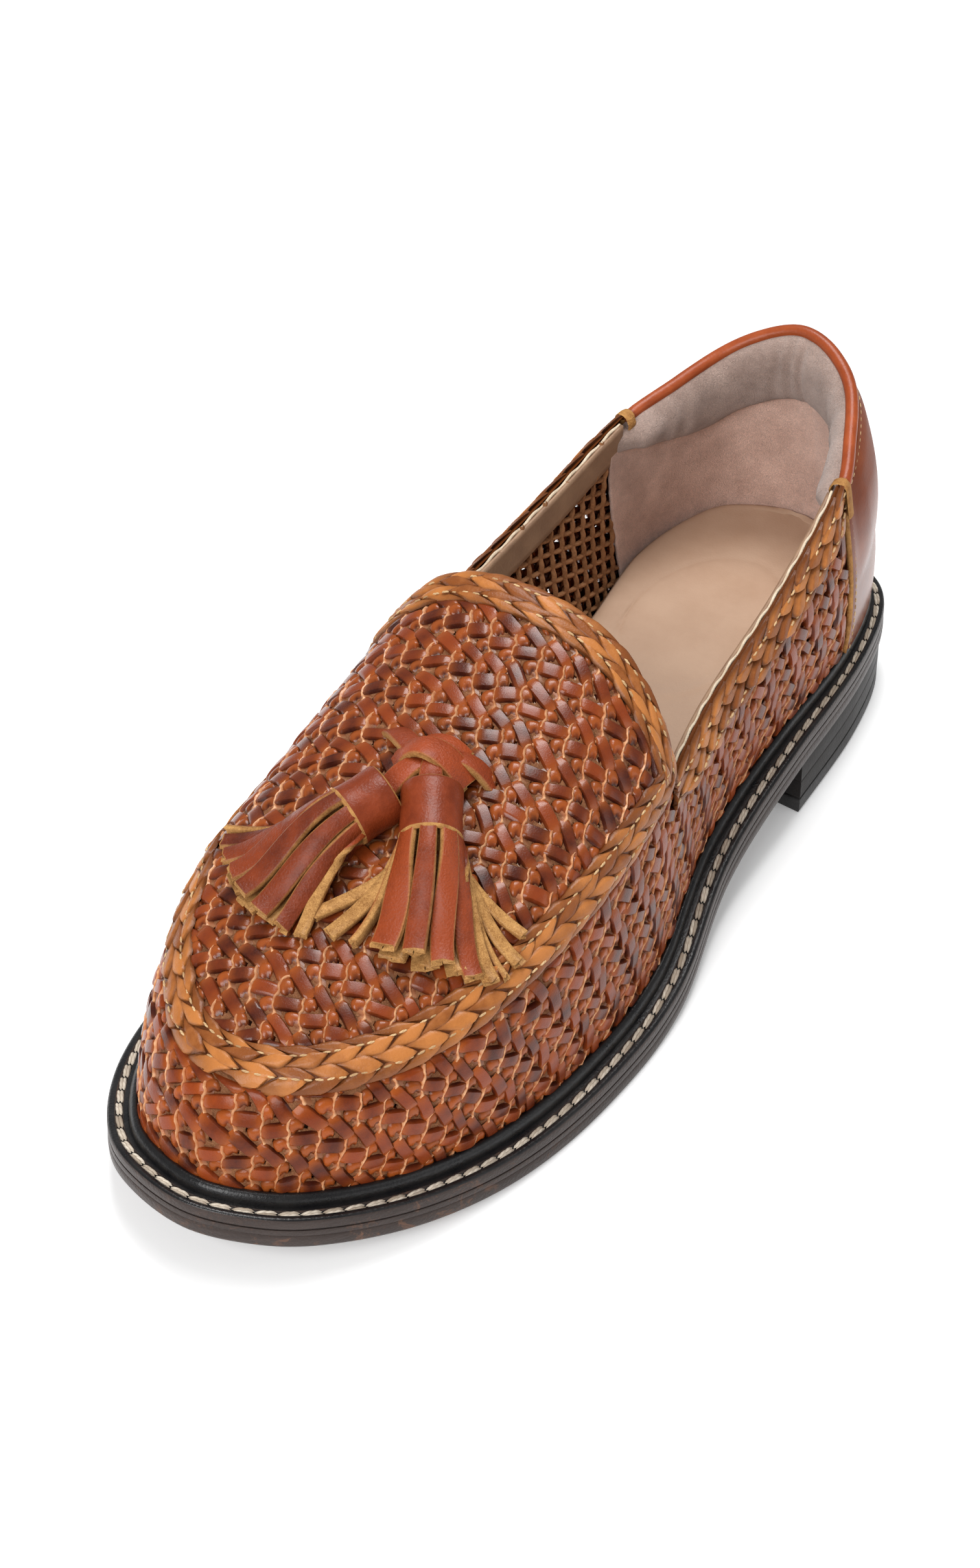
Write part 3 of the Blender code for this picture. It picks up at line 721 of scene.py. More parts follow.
def lace_finish(name, glaze, shine, dark, light, glow):
    """Glazed lace of the weave: dark hearts, orange ends, pale cut edges; the tone mark also carries painted
    shade along the laces' edges and in the lobes' pits.
    """
    f = Finish(name, Coat_Weight=glaze, Coat_Roughness=0.2, Specular_IOR_Level=shine)
    pale, tone, end = f.marks()
    grain, mottle = f.group("leather_grain", 2400.0, 420.0)
    # Painted shade: the tone mark is lowered along the laces' edges and in the lobes' pits.
    body = f.mix(f.share(f.sum(tone, mottle), 0.35, 1.45), dark, light)
    f.colour(f.mix(pale, f.mix(end, body, glow), (0.62, 0.34, 0.18)))
    f.rough(f.spread(pale, 0.28, 0.65))
    f.relief(grain, 0.06, 0.5)
    return f.mat


def flesh_finish(name, dark, light):
    """Flesh side of the laces and the backing between them."""
    f = Finish(name, Roughness=0.92, Specular_IOR_Level=0.2)
    nap, brushed = f.group("suede_nap", 2600.0, 260.0)
    tan = f.mix(f.share(brushed, 0.3, 0.7), dark, light)
    f.colour(f.mix(f.spread(nap, 0.0, 0.5, 0.45, 0.75), tan, (0.42, 0.20, 0.10)))
    f.relief(nap, 0.35)
    return f.mat


def plait_finish():
    """Plaited strands: caramel leaves, browned with painted shade where they dive under their neighbours,
    dark cut rims.
    """
    f = Finish("caramel_plait", Coat_Weight=0.1, Coat_Roughness=0.2, Specular_IOR_Level=0.2)
    rim, tone, dive = f.marks()
    grain, mottle = f.group("leather_grain", 2000.0, 300.0)
    leaf_tone = f.share(f.sum(tone, mottle), 0.6, 1.3)
    face = f.mix(leaf_tone, (0.21, 0.062, 0.014), (0.44, 0.160, 0.040))
    # Painted shade: brown where the leaves dive under their neighbours and over the bed.
    brown = f.mix(dive, face, (0.13, 0.037, 0.009))
    f.colour(f.mix(rim, brown, (0.095, 0.030, 0.009)))
    f.rough(f.spread(mottle, 0.32, 0.46, 0.3, 0.7))
    f.relief(grain, 0.08, 0.6)
    return f.mat


def plain_finish(name, dark, light, roughness, pebbles, patches, depth, **values):
    """Smooth leather: two tones of one dye in soft patches, with a grain."""
    f = Finish(name, **values)
    grain, mottle = f.group("leather_grain", pebbles, patches)
    f.colour(f.mix(f.share(mottle, 0.32, 0.68), dark, light))
    f.rough(f.spread(mottle, roughness * 0.85, roughness * 1.15, 0.3, 0.7))
    f.relief(grain, depth, 0.6)
    return f.mat


def glazed_finish():
    """Counter leather: brown dye that shows near the top, under a glaze that shines lower down."""
    f = Finish("glazed_counter", Coat_IOR=1.75, Coat_Roughness=0.2, Specular_IOR_Level=0.02)
    grain, mottle = f.group("leather_grain", 1500.0, 60.0)
    f.colour(f.mix(f.share(mottle, 0.32, 0.68), (0.14, 0.032, 0.012), (0.23, 0.058, 0.021)))
    _, parts = f.place()
    f.feed(f.shader.inputs["Coat Weight"], f.spread(parts["Z"], 0.64, 0.05, 0.053, 0.066))
    f.rough(f.spread(mottle, 0.36, 0.46, 0.3, 0.7))
    f.relief(grain, 0.05, 0.6)
    return f.mat


def suede_finish(name, dark, light, patches):
    """Brushed suede with flecks of nap."""
    f = Finish(name, Roughness=0.95, Sheen_Weight=0.35, Sheen_Roughness=0.5)
    nap, brushed = f.group("suede_nap", 3000.0, patches)
    tint = f.mix(f.share(brushed, 0.3, 0.7), dark, light)
    fleck = f.spread(nap, 0.72, 1.16, 0.3, 0.7)
    grey = f.node("ShaderNodeCombineColor")
    for socket in grey.inputs[:3]:
        f.feed(socket, fleck)
    f.colour(f.mix(1.0, tint, grey.outputs[0], "MULTIPLY"))
    f.relief(nap, 0.4)
    return f.mat


def thread_finish(name, dark, light):
    """Waxed thread: twisted plies with painted shade in the grooves between them, and a little fluff."""
    f = Finish(name, Roughness=0.7)
    twist, tone, _ = f.marks()
    nap, brushed = f.group("suede_nap", 5000.0, 700.0)
    ply = f.mix(f.share(f.sum(tone, brushed), 0.5, 1.5), light, dark)
    # Painted shade in the grooves between the plies.
    f.colour(f.mix(twist, ply, dark))
    f.relief(nap, 0.1)
    return f.mat


def fringe_finish(name, dark, light):
    """Tassel leather: chestnut face, tan cut edges, suede back."""
    f = Finish(name, Coat_Weight=0.12, Coat_Roughness=0.25, Specular_IOR_Level=0.2)
    cut, tone, back = f.marks()
    grain, mottle = f.group("leather_grain", 1700.0, 230.0)
    nap, brushed = f.group("suede_nap", 3000.0, 300.0)
    face = f.mix(f.share(f.sum(tone, mottle), 0.55, 1.4), dark, light)
    fibres = f.share(f.sum(nap, brushed), 0.72, 1.28)
    tan = f.mix(fibres, (0.19, 0.076, 0.018), (0.54, 0.290, 0.098))
    raw = f.sum(cut, back, "MAXIMUM")
    f.colour(f.mix(raw, face, tan))
    f.rough(f.spread(raw, 0.36, 0.9))
    f.relief(f.mix(raw, grain, nap), 0.15, 0.8)
    return f.mat


def rubbed_finish():
    """Sole edge: brown-black dye, streaked along the layers and rubbed through to brown at the toe."""
    f = Finish("sole_edge", Specular_IOR_Level=0.14)
    grain, mottle = f.group("leather_grain", 1300.0, 60.0)
    place, parts = f.place()
    scuffs = texture(f.tree, "ShaderNodeTexNoise", place, 190.0, Detail=8.0, Roughness=0.75, Distortion=0.6)
    drawn = f.node("ShaderNodeMapping")
    drawn.inputs["Scale"].default_value = (60.0, 60.0, 1400.0)
    f.feed(drawn.inputs["Vector"], place)
    streaks = texture(f.tree, "ShaderNodeTexNoise", drawn.outputs["Vector"], 1.0, Detail=4.0)
    base = f.mix(mottle, (0.030, 0.022, 0.020), (0.058, 0.044, 0.039))
    lined = f.mix(f.spread(streaks, 0.0, 0.45, 0.45, 0.75), base, (0.070, 0.052, 0.046))
    front = f.spread(parts["Y"], 1.0, 0.0, -0.115, -0.045)
    low = f.spread(parts["Z"], 1.0, 0.15, 0.010, 0.017)
    worn = f.sum(f.spread(scuffs, 0.0, 0.8, 0.54, 0.65), f.sum(front, low, "MULTIPLY"), "MULTIPLY")
    f.colour(f.mix(worn, lined, (0.19, 0.098, 0.062)))
    f.rough(f.spread(worn, 0.36, 0.7))
    f.relief(f.sum(grain, streaks), 0.12, 0.7)
    return f.mat


# Painted light: one lace in two copies; the wall's has less glaze and colours about a fifth lighter, standing
# in for the different light on the walls.
PLUG_LACE = lace_finish("plug_lace", 0.38, 0.13, (0.038, 0.007, 0.004), (0.195, 0.034, 0.007),
                        (0.32, 0.078, 0.014))
WALL_LACE = lace_finish("wall_lace", 0.22, 0.09, (0.045, 0.008, 0.004), (0.230, 0.039, 0.007),
                        (0.38, 0.090, 0.015))
FLESH = flesh_finish("flesh_side", (0.11, 0.037, 0.014), (0.27, 0.112, 0.048))
RIB = flesh_finish("lattice_strip", (0.24, 0.095, 0.034), (0.45, 0.212, 0.095))
PLAIT = plait_finish()
COUNTER = glazed_finish()
PIPING = plain_finish("rolled_piping", (0.24, 0.043, 0.010), (0.35, 0.072, 0.018), 0.38, 1700.0, 140.0, 0.06,
                      Coat_Weight=0.1, Coat_Roughness=0.25, Specular_IOR_Level=0.25)
WELT = plain_finish("black_welt", (0.006, 0.006, 0.007), (0.014, 0.013, 0.013), 0.30, 1500.0, 160.0, 0.07,
                    Specular_IOR_Level=0.35)
SOLE = rubbed_finish()
HEEL = plain_finish("heel_edge", (0.008, 0.007, 0.0065), (0.020, 0.017, 0.016), 0.45, 1300.0, 45.0, 0.07,
                    Specular_IOR_Level=0.12)
LIFT_RUBBER = plain_finish("lift_rubber", (0.012, 0.011, 0.011), (0.022, 0.020, 0.020), 0.55, 900.0, 80.0,
                           0.12)
INSOLE = plain_finish("nude_insole", (0.432, 0.277, 0.184), (0.488, 0.326, 0.225), 0.58, 1500.0, 70.0, 0.05,
                      Specular_IOR_Level=0.3)
BINDING = plain_finish("taupe_binding", (0.23, 0.130, 0.075), (0.34, 0.205, 0.120), 0.55, 1500.0, 120.0, 0.07)
CREAM = plain_finish("cream_edge", (0.62, 0.48, 0.33), (0.78, 0.66, 0.50), 0.65, 2200.0, 300.0, 0.12)
RAW_EDGE = plain_finish("raw_edge", (0.25, 0.105, 0.028), (0.47, 0.240, 0.077), 0.75, 2600.0, 500.0, 0.2,
                        Specular_IOR_Level=0.2)
BARREL_LEATHER = plain_finish("barrel_leather", (0.145, 0.023, 0.006), (0.225, 0.038, 0.010), 0.36, 1700.0,
                              210.0, 0.08, Coat_Weight=0.06, Coat_Roughness=0.3, Specular_IOR_Level=0.25)
# Painted light: one taupe suede in two copies, the heel pocket's lighter to make up for its shade and the
# collar pad's darker to make up for the light on it.
LINING = suede_finish("taupe_suede", (0.52, 0.312, 0.238), (0.84, 0.565, 0.458), 85.0)
PAD = suede_finish("taupe_pad", (0.27, 0.176, 0.140), (0.45, 0.322, 0.270), 110.0)
GOLD_THREAD = thread_finish("gold_thread", (0.34, 0.19, 0.08), (0.72, 0.50, 0.26))
CREAM_THREAD = thread_finish("cream_thread", (0.34, 0.27, 0.20), (0.78, 0.70, 0.58))
FRINGE = fringe_finish("tassel_strip", (0.085, 0.013, 0.004), (0.26, 0.046, 0.012))
THONG = fringe_finish("tie_thong", (0.155, 0.025, 0.008), (0.34, 0.060, 0.016))


# Woven laces: steps of the lattice, how far it reaches, how loosely the laces lie, how they end at an edge

ROW_STEP = np.array([6.15, -0.6])
COLUMN_STEP = np.array([1.3, -10.8])
REACH = (90, 60)
SWAY = np.radians(4.0)
SLACK = 0.18
DRIFT = 0.34
EDGE_TUCK = 2.2
TUCK_DEPTH = 1.2

# Thin strips of the open lattice in the quarters
RIB_HALF = 0.58
RIB_OVERLAP = 0.54
RIB_CROSSING = 0.35

# Holes of the backing in a cell, and their radius
HOLES = ((-0.9, 2.55), (0.6, -2.7))
HOLE_RADIUS = 0.75

# Path of the cut edge through a cell, with its height
STRAND = np.array([
    (2.15, 2.9, 1.30), (2.45, 1.6, 1.70), (3.25, 0.5, 1.40), (3.15, -1.0, 1.70), (3.60, -2.4, 1.20),
    (4.75, -3.9, 1.15), (4.60, -5.9, 0.90), (3.60, -7.2, 1.30), (3.45, -8.1, 1.30),
])


def bar(length, width, crown, degrees, centre, bow=0.0):
    """Lace that lies across a cell: a pillow whose ends dive under their neighbours."""
    places, faces = unit_grid(8, 6)
    a, b = places.T
    half = 0.5 * width * (1.0 - 0.16 * np.abs(a) ** 10)
    flat = turned(columns(a * 0.5 * length, b * half + bow * (1.0 - a * a)), degrees) + np.array(centre)
    dome = 0.25 + 0.75 * (1.0 - np.abs(b) ** 6.0) ** 0.5
    height = crown * dome * (1.0 - 0.13 * a ** 2 - 0.32 * np.abs(a) ** 8) - 0.5 * np.abs(b) ** 14
    end = 0.85 * np.abs(a) ** 2.2 * (1.0 - b ** 6)
    # Last mark: painted shade along the lace's sides, where it meets its neighbours.
    return flat, height, faces, np.zeros(len(a)), end, np.abs(b) ** 6


def lobe(radius, stretch, crown, degrees, centre, pit):
    """Rounded end of a lace that turns under, with a pinhole where it coils."""
    places, faces = unit_grid(6, 6)
    a, b = (places * np.sqrt(1.0 - 0.5 * places[:, ::-1] ** 2)).T
    out = np.hypot(a, b)
    flat = turned(columns(a * radius * stretch, b * radius), degrees) + np.array(centre)
    hole = np.exp(-np.sum((flat - np.array(pit)) ** 2, -1) / 0.30)
    height = crown * np.sqrt(np.clip(1.0 - out ** 3.6, 0.0, None)) * (1.0 - 0.9 * hole) - 0.2 * out ** 8
    # Painted shade: the pit and the rim lose their orange, and the last mark darkens them.
    end = np.clip(0.6 - 1.3 * hole, 0.0, 1.0) * (1.0 - out ** 6)
    return flat, height, faces, np.zeros(len(a)), end, np.maximum(out ** 6, hole)


def strand(across, width, wave, level, pale, warm):
    """Thin cut edge that runs over the laces' ends from one row to the next."""
    places, faces = unit_grid(16, across)
    b = places[:, 1]
    path = STRAND[:, :2]
    run = run_of(path)
    along = 0.5 * (places[:, 0] + 1.0) * run[-1]
    tangent = unit(sampled(along + 0.3, run, path) - sampled(along - 0.3, run, path))
    half = width + wave * np.sin(along * 2.6 + 1.3 * b)
    flat = sampled(along, run, path) + left_of(tangent) * (b * half)[:, None]
    height = level * np.interp(along, run, STRAND[:, 2]) * (1.0 - 0.5 * b ** 2)
    shade = pale * (1.0 - 0.7 * b ** 2 - 0.4 * np.sin(along * 3.1))
    # Last mark: painted shade along the strand's sides.
    return flat, height, faces, shade, np.full(len(b), warm), b ** 2


CELL = (
    bar(6.5, 3.8, 1.55, 20.0, (0.0, 0.0)),
    bar(7.5, 3.8, 1.40, -29.0, (-0.2, 4.85), 0.1),
    lobe(2.15, 1.08, 1.20, 35.0, (-3.80, -2.00), (-3.05, -2.95)),
    lobe(1.85, 1.22, 1.20, 118.0, (3.72, 2.20), (4.70, 1.25)),
    strand(2, 1.50, 0.40, 0.66, 0.33, 0.3),
    strand(4, 0.43, 0.16, 0.95, 0.80, 1.0),
)
STRANDS = 2


def lattice(first, second, i, j):
    """Points of a slanted lattice at whole steps i and j."""
    return i[..., None] * first + j[..., None] * second


def whole_steps(low, high):
    """Pairs of whole numbers from low up to, but not with, high."""
    return np.meshgrid(*(np.arange(a, b) for a, b in zip(low, high)), indexing="ij")


def cells_over(low, high):
    """Lattice points of the weave inside a flat box."""
    i, j = whole_steps((-REACH[0], -REACH[1]), (REACH[0] + 1, REACH[1] + 1))
    points = lattice(ROW_STEP, COLUMN_STEP, i.ravel(), j.ravel())
    return points[np.all((points > low) & (points < high), axis=1)]


def wander(flat):
    """Slow drift that keeps hand-woven rows from running dead straight."""
    x, y = flat[..., 0], flat[..., 1]
    along = np.sin(0.27 * x + 0.19 * y) + 0.6 * np.sin(0.41 * y - 0.13 * x)
    across = np.sin(0.23 * x - 0.31 * y + 1.7) + 0.6 * np.sin(0.37 * x + 0.11 * y)
    return flat + DRIFT * columns(along, across)


def weave(joined, skin, cells, to_skin, room):
    """Lay every lace of every cell on a skin; room is how far a place lies inside the sheet's bound edge."""
    tones = chance.uniform(0.0, 1.0, (len(cells), len(CELL)))
    sways = chance.normal(0.0, 1.0, (len(cells), len(CELL), 3))
    for k, (flat, height, faces, pale, end, dark) in enumerate(CELL):
        loose = 1.0 if k < len(CELL) - STRANDS else 0.0
        middle = flat.mean(axis=0)
        off = flat - middle
        swung = off + left_of(off) * (SWAY * sways[:, k, 0] * loose)[:, None, None]
        place = to_skin(wander(swung + middle + cells[:, None] + SLACK * loose * sways[:, k, None, 1:]))
        kept = room(place.mean(axis=1)) > -0.5
        place = place[kept]
        tuck = np.clip(room(place) / EDGE_TUCK + 0.25, 0.0, 1.0)
        lift = height * (1.0 + 0.07 * loose * sways[kept, k, :1]) * tuck - TUCK_DEPTH * (1.0 - tuck)
        tone = tones[kept, k, None]
        # Second mark: random tone less the painted shade of each piece.
        marks = columns(pale * (0.62 + 0.5 * tone), tone - dark, end)
        joined.add(skin.at(place[..., 0], place[..., 1], lift), faces, marks)


def as_is(flat):
    return flat


def wall_room(place):
    """How far a place on the wall lies below its braid, above its feather and in front of the counter."""
    s, t = place[..., 0], place[..., 1]
    reach = np.where(s > 0, TONGUE_S[1], -TONGUE_S[-1])
    below = total_at(s) - 0.5 - 5.0 * smooth((np.abs(s) - reach + 4.0) / 8.0) - t
    return np.minimum.reduce([below, t - 2.0, COUNTER_S[1] - s, s - COUNTER_S[-1]])


def plug_room(place):
    """How far a place on the plug lies inside the braid's inner edge."""
    return border_gap(place.reshape(-1, 2), plait_line).reshape(place.shape[:-1]) - BRAID_HALF + 1.4


def on_wall_backing(place):
    s, t = place[:, 0], place[:, 1]
    return (t > 1.0) & (t < total_at(s) - 0.4) & (s < TONGUE_S[1] - 14.0) & (s > TONGUE_S[-1] + 14.0)


def on_plug_backing(place):
    return border_gap(place, plug_border) > 0.4


def backing(name, skin, to_skin, inside):
    """Backing sheet of the weave, cut on its lattice, with the small holes between the laces."""
    fine = np.array([6, 10])
    steps = ROW_STEP / fine[0], COLUMN_STEP / fine[1]
    corner = fine * REACH
    i, j = whole_steps(-corner, corner)
    centre = lattice(*steps, i + 0.5, j + 0.5)
    share = columns((i + 0.5) / fine[0], (j + 0.5) / fine[1])
    local = share - np.round(share)
    spot = lattice(ROW_STEP, COLUMN_STEP, local[..., 0], local[..., 1])
    solid = np.all(np.abs(centre - np.array([0.0, 60.0])) < np.array([260.0, 210.0]), axis=-1)
    for x, y in HOLES:
        solid &= np.hypot(spot[..., 0] - x, spot[..., 1] - y) >= HOLE_RADIUS
    rows = np.argwhere(solid)[inside(to_skin(centre[solid]))]
    around = np.stack([rows, rows + [1, 0], rows + [1, 1], rows + [0, 1]], 1)
    wide = i.shape[1] + 1
    keys, faces = np.unique(around[..., 0] * wide + around[..., 1], return_inverse=True)
    place = to_skin(lattice(*steps, keys // wide - corner[0], keys % wide - corner[1]))
    joined = Joined()
    points = skin.at(place[:, 0], place[:, 1], BACKING_LIFT)
    joined.add(points[None], faces.reshape(-1, 4)[:, ::-1], np.zeros(3))
    thicken(joined.piece(name, FLESH, "woven_leather"), BACKING)


def make_ribs():
    """Open lattice behind the weave of the quarters: thin crossed strips that let light through."""
    first = 0.5 * ROW_STEP + 0.25 * COLUMN_STEP
    second = 0.5 * ROW_STEP - 0.25 * COLUMN_STEP
    i, j = whole_steps((-120, -120), (121, 121))
    nodes = lattice(first, second, i.ravel(), j.ravel())
    s, t = pattern.to_skin(nodes).T
    behind = (s > TONGUE_S[1] - 18.0) | (s < TONGUE_S[-1] + 18.0)
    before = (s < LINING_S[1] + 2.0) & (s > LINING_S[-1] - 2.0)
    nodes = nodes[behind & before & (t > 2.0) & (t < total_at(s) - 2.0)]
    joined = Joined()
    places, faces = unit_grid(5, 4)
    a, b = places.T
    for step, lift in ((first, 0.0), (second, RIB_CROSSING)):
        flat = (0.5 + RIB_OVERLAP * a)[:, None] * step + b[:, None] * RIB_HALF * unit(left_of(step))
        spot = pattern.to_skin(nodes[:, None] + flat)
        height = -0.2 - lift - 0.9 * (1.0 - b ** 4) - 0.2 * np.cos(a * math.pi)
        wobble = chance.normal(0.0, 0.08, (len(nodes), 1))
        joined.add(wall.at(spot[..., 0], spot[..., 1], height + wobble), faces[:, ::-1], np.zeros(3))
    joined.piece("quarter_ribs", RIB, "woven_leather")


def make_weave():
    cells = cells_over((-260.0, -80.0), (260.0, 260.0))
    vamp = Joined()
    weave(vamp, wall, cells[wall_room(pattern.to_skin(cells)) > -10.0], pattern.to_skin, wall_room)
    vamp.piece("woven_wall", WALL_LACE, "woven_leather", ["upper"])
    cells = cells_over((-75.0, -150.0), (75.0, 30.0))
    top = Joined()
    weave(top, plug, cells[plug_room(cells) > -10.0], as_is, plug_room)
    top.piece("woven_plug", PLUG_LACE, "woven_leather")
    backing("wall_backing", wall, pattern.to_skin, on_wall_backing)
    backing("plug_backing", plug, as_is, on_plug_backing)
    make_ribs()


make_weave()


# Sole and welt: profile rows are inset, as a share of the lip for the welt, and height above the underside

BEAD = [(0.58 + 0.21 * (1 - math.cos(a)), WELT_TOP + (BEAD_TOP - WELT_TOP) * math.sin(a))
        for a in np.linspace(0.0, 0.9 * math.pi, 11)]
WELT_SHAPE = np.array(
    [(0.03, OUTSOLE + 0.1), (0.008, OUTSOLE + 0.35), (0.0, OUTSOLE + 0.9), (0.0, WELT_TOP - 1.0),
     (0.02, WELT_TOP - 0.4), (0.07, WELT_TOP - 0.1), (0.13, WELT_TOP), (0.21, WELT_TOP - 0.05),
     (0.24, WELT_TOP - 0.6), (0.33, WELT_TOP - 0.9), (0.42, WELT_TOP - 0.6), (0.45, WELT_TOP - 0.1),
     (0.51, WELT_TOP)] + BEAD + [(1.02, OUTSOLE + 0.1)])
SOLE_SHAPE = np.array([
    (3.0, 0.0), (1.0, 0.0), (0.3, 0.15), (0.0, 0.7), (-0.08, 2.0), (-0.04, 3.2), (0.12, 3.4),
    (-0.03, 3.6), (0.0, 4.6), (0.06, 4.9), (0.6, 5.05), (3.0, 5.05),
])
TREAD_INSET = 2.6
TREAD_THICK = 4.9

# Heel: levels from the bottom up, with insets; the stack's levels are shares of its height
LIFT_LEVELS = ((0.0, 0.9), (0.25, 0.25), (0.8, 0.0), (3.3, 0.0), (3.8, 0.1), (4.05, 0.45))
STACK_LEVELS = (
    (0.0, 0.4), (0.03, 0.1), (0.08, 0.0), (0.45, -0.05), (0.49, 0.02), (0.50, 0.12), (0.51, 0.02),
    (0.55, -0.05), (0.94, 0.0), (0.99, 0.25),
)


def ring(name, profile, finish, slot, node):
    """Closed band around the shoe; profile gives its loop of points at one place."""
    loops = np.stack([profile(u) for u in np.linspace(0.0, TURN, 301)])
    return formed_rows(name, np.concatenate([loops, loops[:, :1]], 1), finish, slot, [node])


def wall_swell(u, height):
    """How far the wall stands out over its feather at a height."""
    points = wall_curve(u)
    out = (points[:, :2] - points[0, :2]) @ outward(u)
    return np.interp(height, points[:, 2] - underside(points[:, 1]), out)


def welt_loop(u):
    width = lip(section(u, "sole_y")[0]) - wall_swell(u, WELT_SHAPE[:, 1])
    return sole_point(u, WELT_SHAPE[:, 0] * width, WELT_SHAPE[:, 1])


def sole_loop(u):
    return sole_point(u, SOLE_SHAPE[:, 0], SOLE_SHAPE[:, 1])


def sole_plan(a, b, front, back, inset):
    """Place on the sole for shares along and across it; inset gives the distance from its edge at y."""
    y = front - 0.5 * LENGTH + (LENGTH - front - back) * (0.5 - 0.5 * np.cos(a * math.pi))
    sides = []
    for us in halves(900):
        line = sole_point(us, inset(section(us, "sole_y")[:, 0]), 0.0)
        line = line[np.argsort(line[:, 1])]
        sides.append(np.interp(y, line[:, 1], line[:, 0]))
    outer, inner = sides
    return inner + (outer - inner) * b, y


def make_sole():
    ring("sole_rand", sole_loop, SOLE, "sole_leather", "outsole")
    band = ring("welt_band", welt_loop, WELT, "welt_leather", "welt")
    band.data.materials.append(SOLE)
    for face in band.data.polygons:
        above = face.center.z / MM - underside(face.center.y / MM)
        if abs(face.normal.z) < 0.5 and above < WELT_TOP - 0.2:
            face.material_index = 1

    def tread(a, b):
        x, y = sole_plan(a, b, TREAD_INSET + 0.1, TREAD_INSET + 0.1, lambda y: TREAD_INSET)
        return columns(x, y, underside(y))

    formed("sole_tread", 90, 16, tread, SOLE, "sole_leather", thickness=-TREAD_THICK, flip=True)


def lift_height(level, y):
    return np.full_like(y, level)


def stack_height(share, y):
    return LIFT + 0.2 + (underside(y) - LIFT - 0.2) * share


def heel_block(name, levels, height_at, finish, slot, node):
    """Block under the heel seat: hollow breast across the front, then the round back."""
    breast = (HEEL_BREAST - 0.5) * LENGTH
    us = np.linspace(0.0, TURN, 1441)
    back = us[section(us, "sole_y")[:, 0] > breast]
    us = np.linspace(back[0], back[-1], 101)
    hollow = BREAST_HOLLOW * np.sin(np.linspace(0.0, math.pi, 22)[1:-1])
    rows = []
    for level, inset in levels:
        curve = sole_point(us, HEEL_INSET + inset, 0.0)
        curve[:, 1] = np.maximum(curve[:, 1], breast + inset)
        front = np.linspace(curve[-1], curve[0], 22)[1:-1]
        front[:, 1] = breast + inset + hollow
        loop = np.concatenate([curve, front])
        loop[:, 2] = height_at(level, loop[:, 1])
        rows.append(np.concatenate([loop, loop[:1]]))
    low, high = rows[0].copy(), rows[-1].copy()
    for cap in (low, high):
        cap[:, :2] = cap[:, :2].mean(axis=0) + 0.02 * (cap[:, :2] - cap[:, :2].mean(axis=0))
    high[:, 2] = rows[-1][:, 2].mean()
    formed_rows(name, np.stack([low] + rows + [high], 1), finish, slot, [node], sharp=40.0)


make_sole()
heel_block("heel_lift_cap", LIFT_LEVELS, lift_height, LIFT_RUBBER, "heel_lift", "heel_lift")
heel_block("heel_stack", STACK_LEVELS, stack_height, HEEL, "heel_stack", "heel")


# Stitches: a stitch is given by its length, radius and half turns of twist

WELT_PITCH = 4.8
WELT_STITCH = (4.7, 0.42, 2.5)
WELT_SPLIT = 0.34
WELT_SLANT = 0.09
WELT_GROOVE = 0.33
GOLD_PITCH = 2.0
GOLD_STITCH = (1.5, 0.2, 1.5)


def stitch_row(joined, centres, tangents, normals, length, radius, twists):
    """Short lengths of twisted thread, each dipping at its ends."""
    places, faces = unit_grid(7, 6)
    a = places[:, 0]
    angle = places[:, 1] * math.pi
    wave = np.cos(2.0 * angle + a * twists * math.pi)
    thick = radius * np.sqrt(np.clip(1.0 - a ** 4, 0.02, None)) * (1.0 + 0.12 * wave)
    side = np.cross(normals, tangents)
    up = thick * np.sin(angle) - 0.55 * radius * a ** 2
    points = (centres[:, None] + tangents[:, None] * (0.5 * length * a)[:, None]
              + side[:, None] * (thick * np.cos(angle))[:, None] + normals[:, None] * up[:, None])
    # First mark: painted shade along the grooves between the plies.
    twist = np.clip(0.5 - 0.5 * wave, 0.0, 1.0) * 0.55
    tone = chance.uniform(0.0, 1.0, (len(centres), 1))
    joined.add(points, faces[:, ::-1], columns(twist, tone, 0.0))


def evenly(points, pitch):
    """Centres and tangents of even steps along a polyline."""
    length = run_of(points)[-1]
    count = int(round(length / pitch))
    at = (np.arange(count) + 0.5) * length / count
    return stretched(points, at), unit(stretched(points, at + 0.4) - stretched(points, at - 0.4))


def make_welt_stitches():
    us = np.linspace(0.0, TURN, 721)
    swell = np.array([wall_swell(u, WELT_TOP) for u in us])
    line = sole_point(us, WELT_GROOVE * (lip(section(us, "sole_y")[:, 0]) - swell), WELT_TOP - 0.40)
    centres, tangents = evenly(line, WELT_PITCH)
    normals = unit(UP - tangents * np.sum(UP * tangents, -1, keepdims=True))
    side = np.cross(normals, tangents)
    joined = Joined()
    for shift in (-WELT_SPLIT, WELT_SPLIT):
        stitch_row(joined, centres + side * shift, unit(tangents + side * WELT_SLANT), normals, *WELT_STITCH)
    joined.piece("welt_stitches", CREAM_THREAD, "welt_leather")


make_welt_stitches()


# Plaited braids

PLAIT_PITCH = 7.9
PLAIT_LOW = 1.55
PLAIT_BED = 1.35
SEAM_OFF = 2.15
SEAM_PITCH = 2.6
SEAM_HEIGHT = 2.10
SEAM_STITCH = (1.9, 0.25, 2.0)


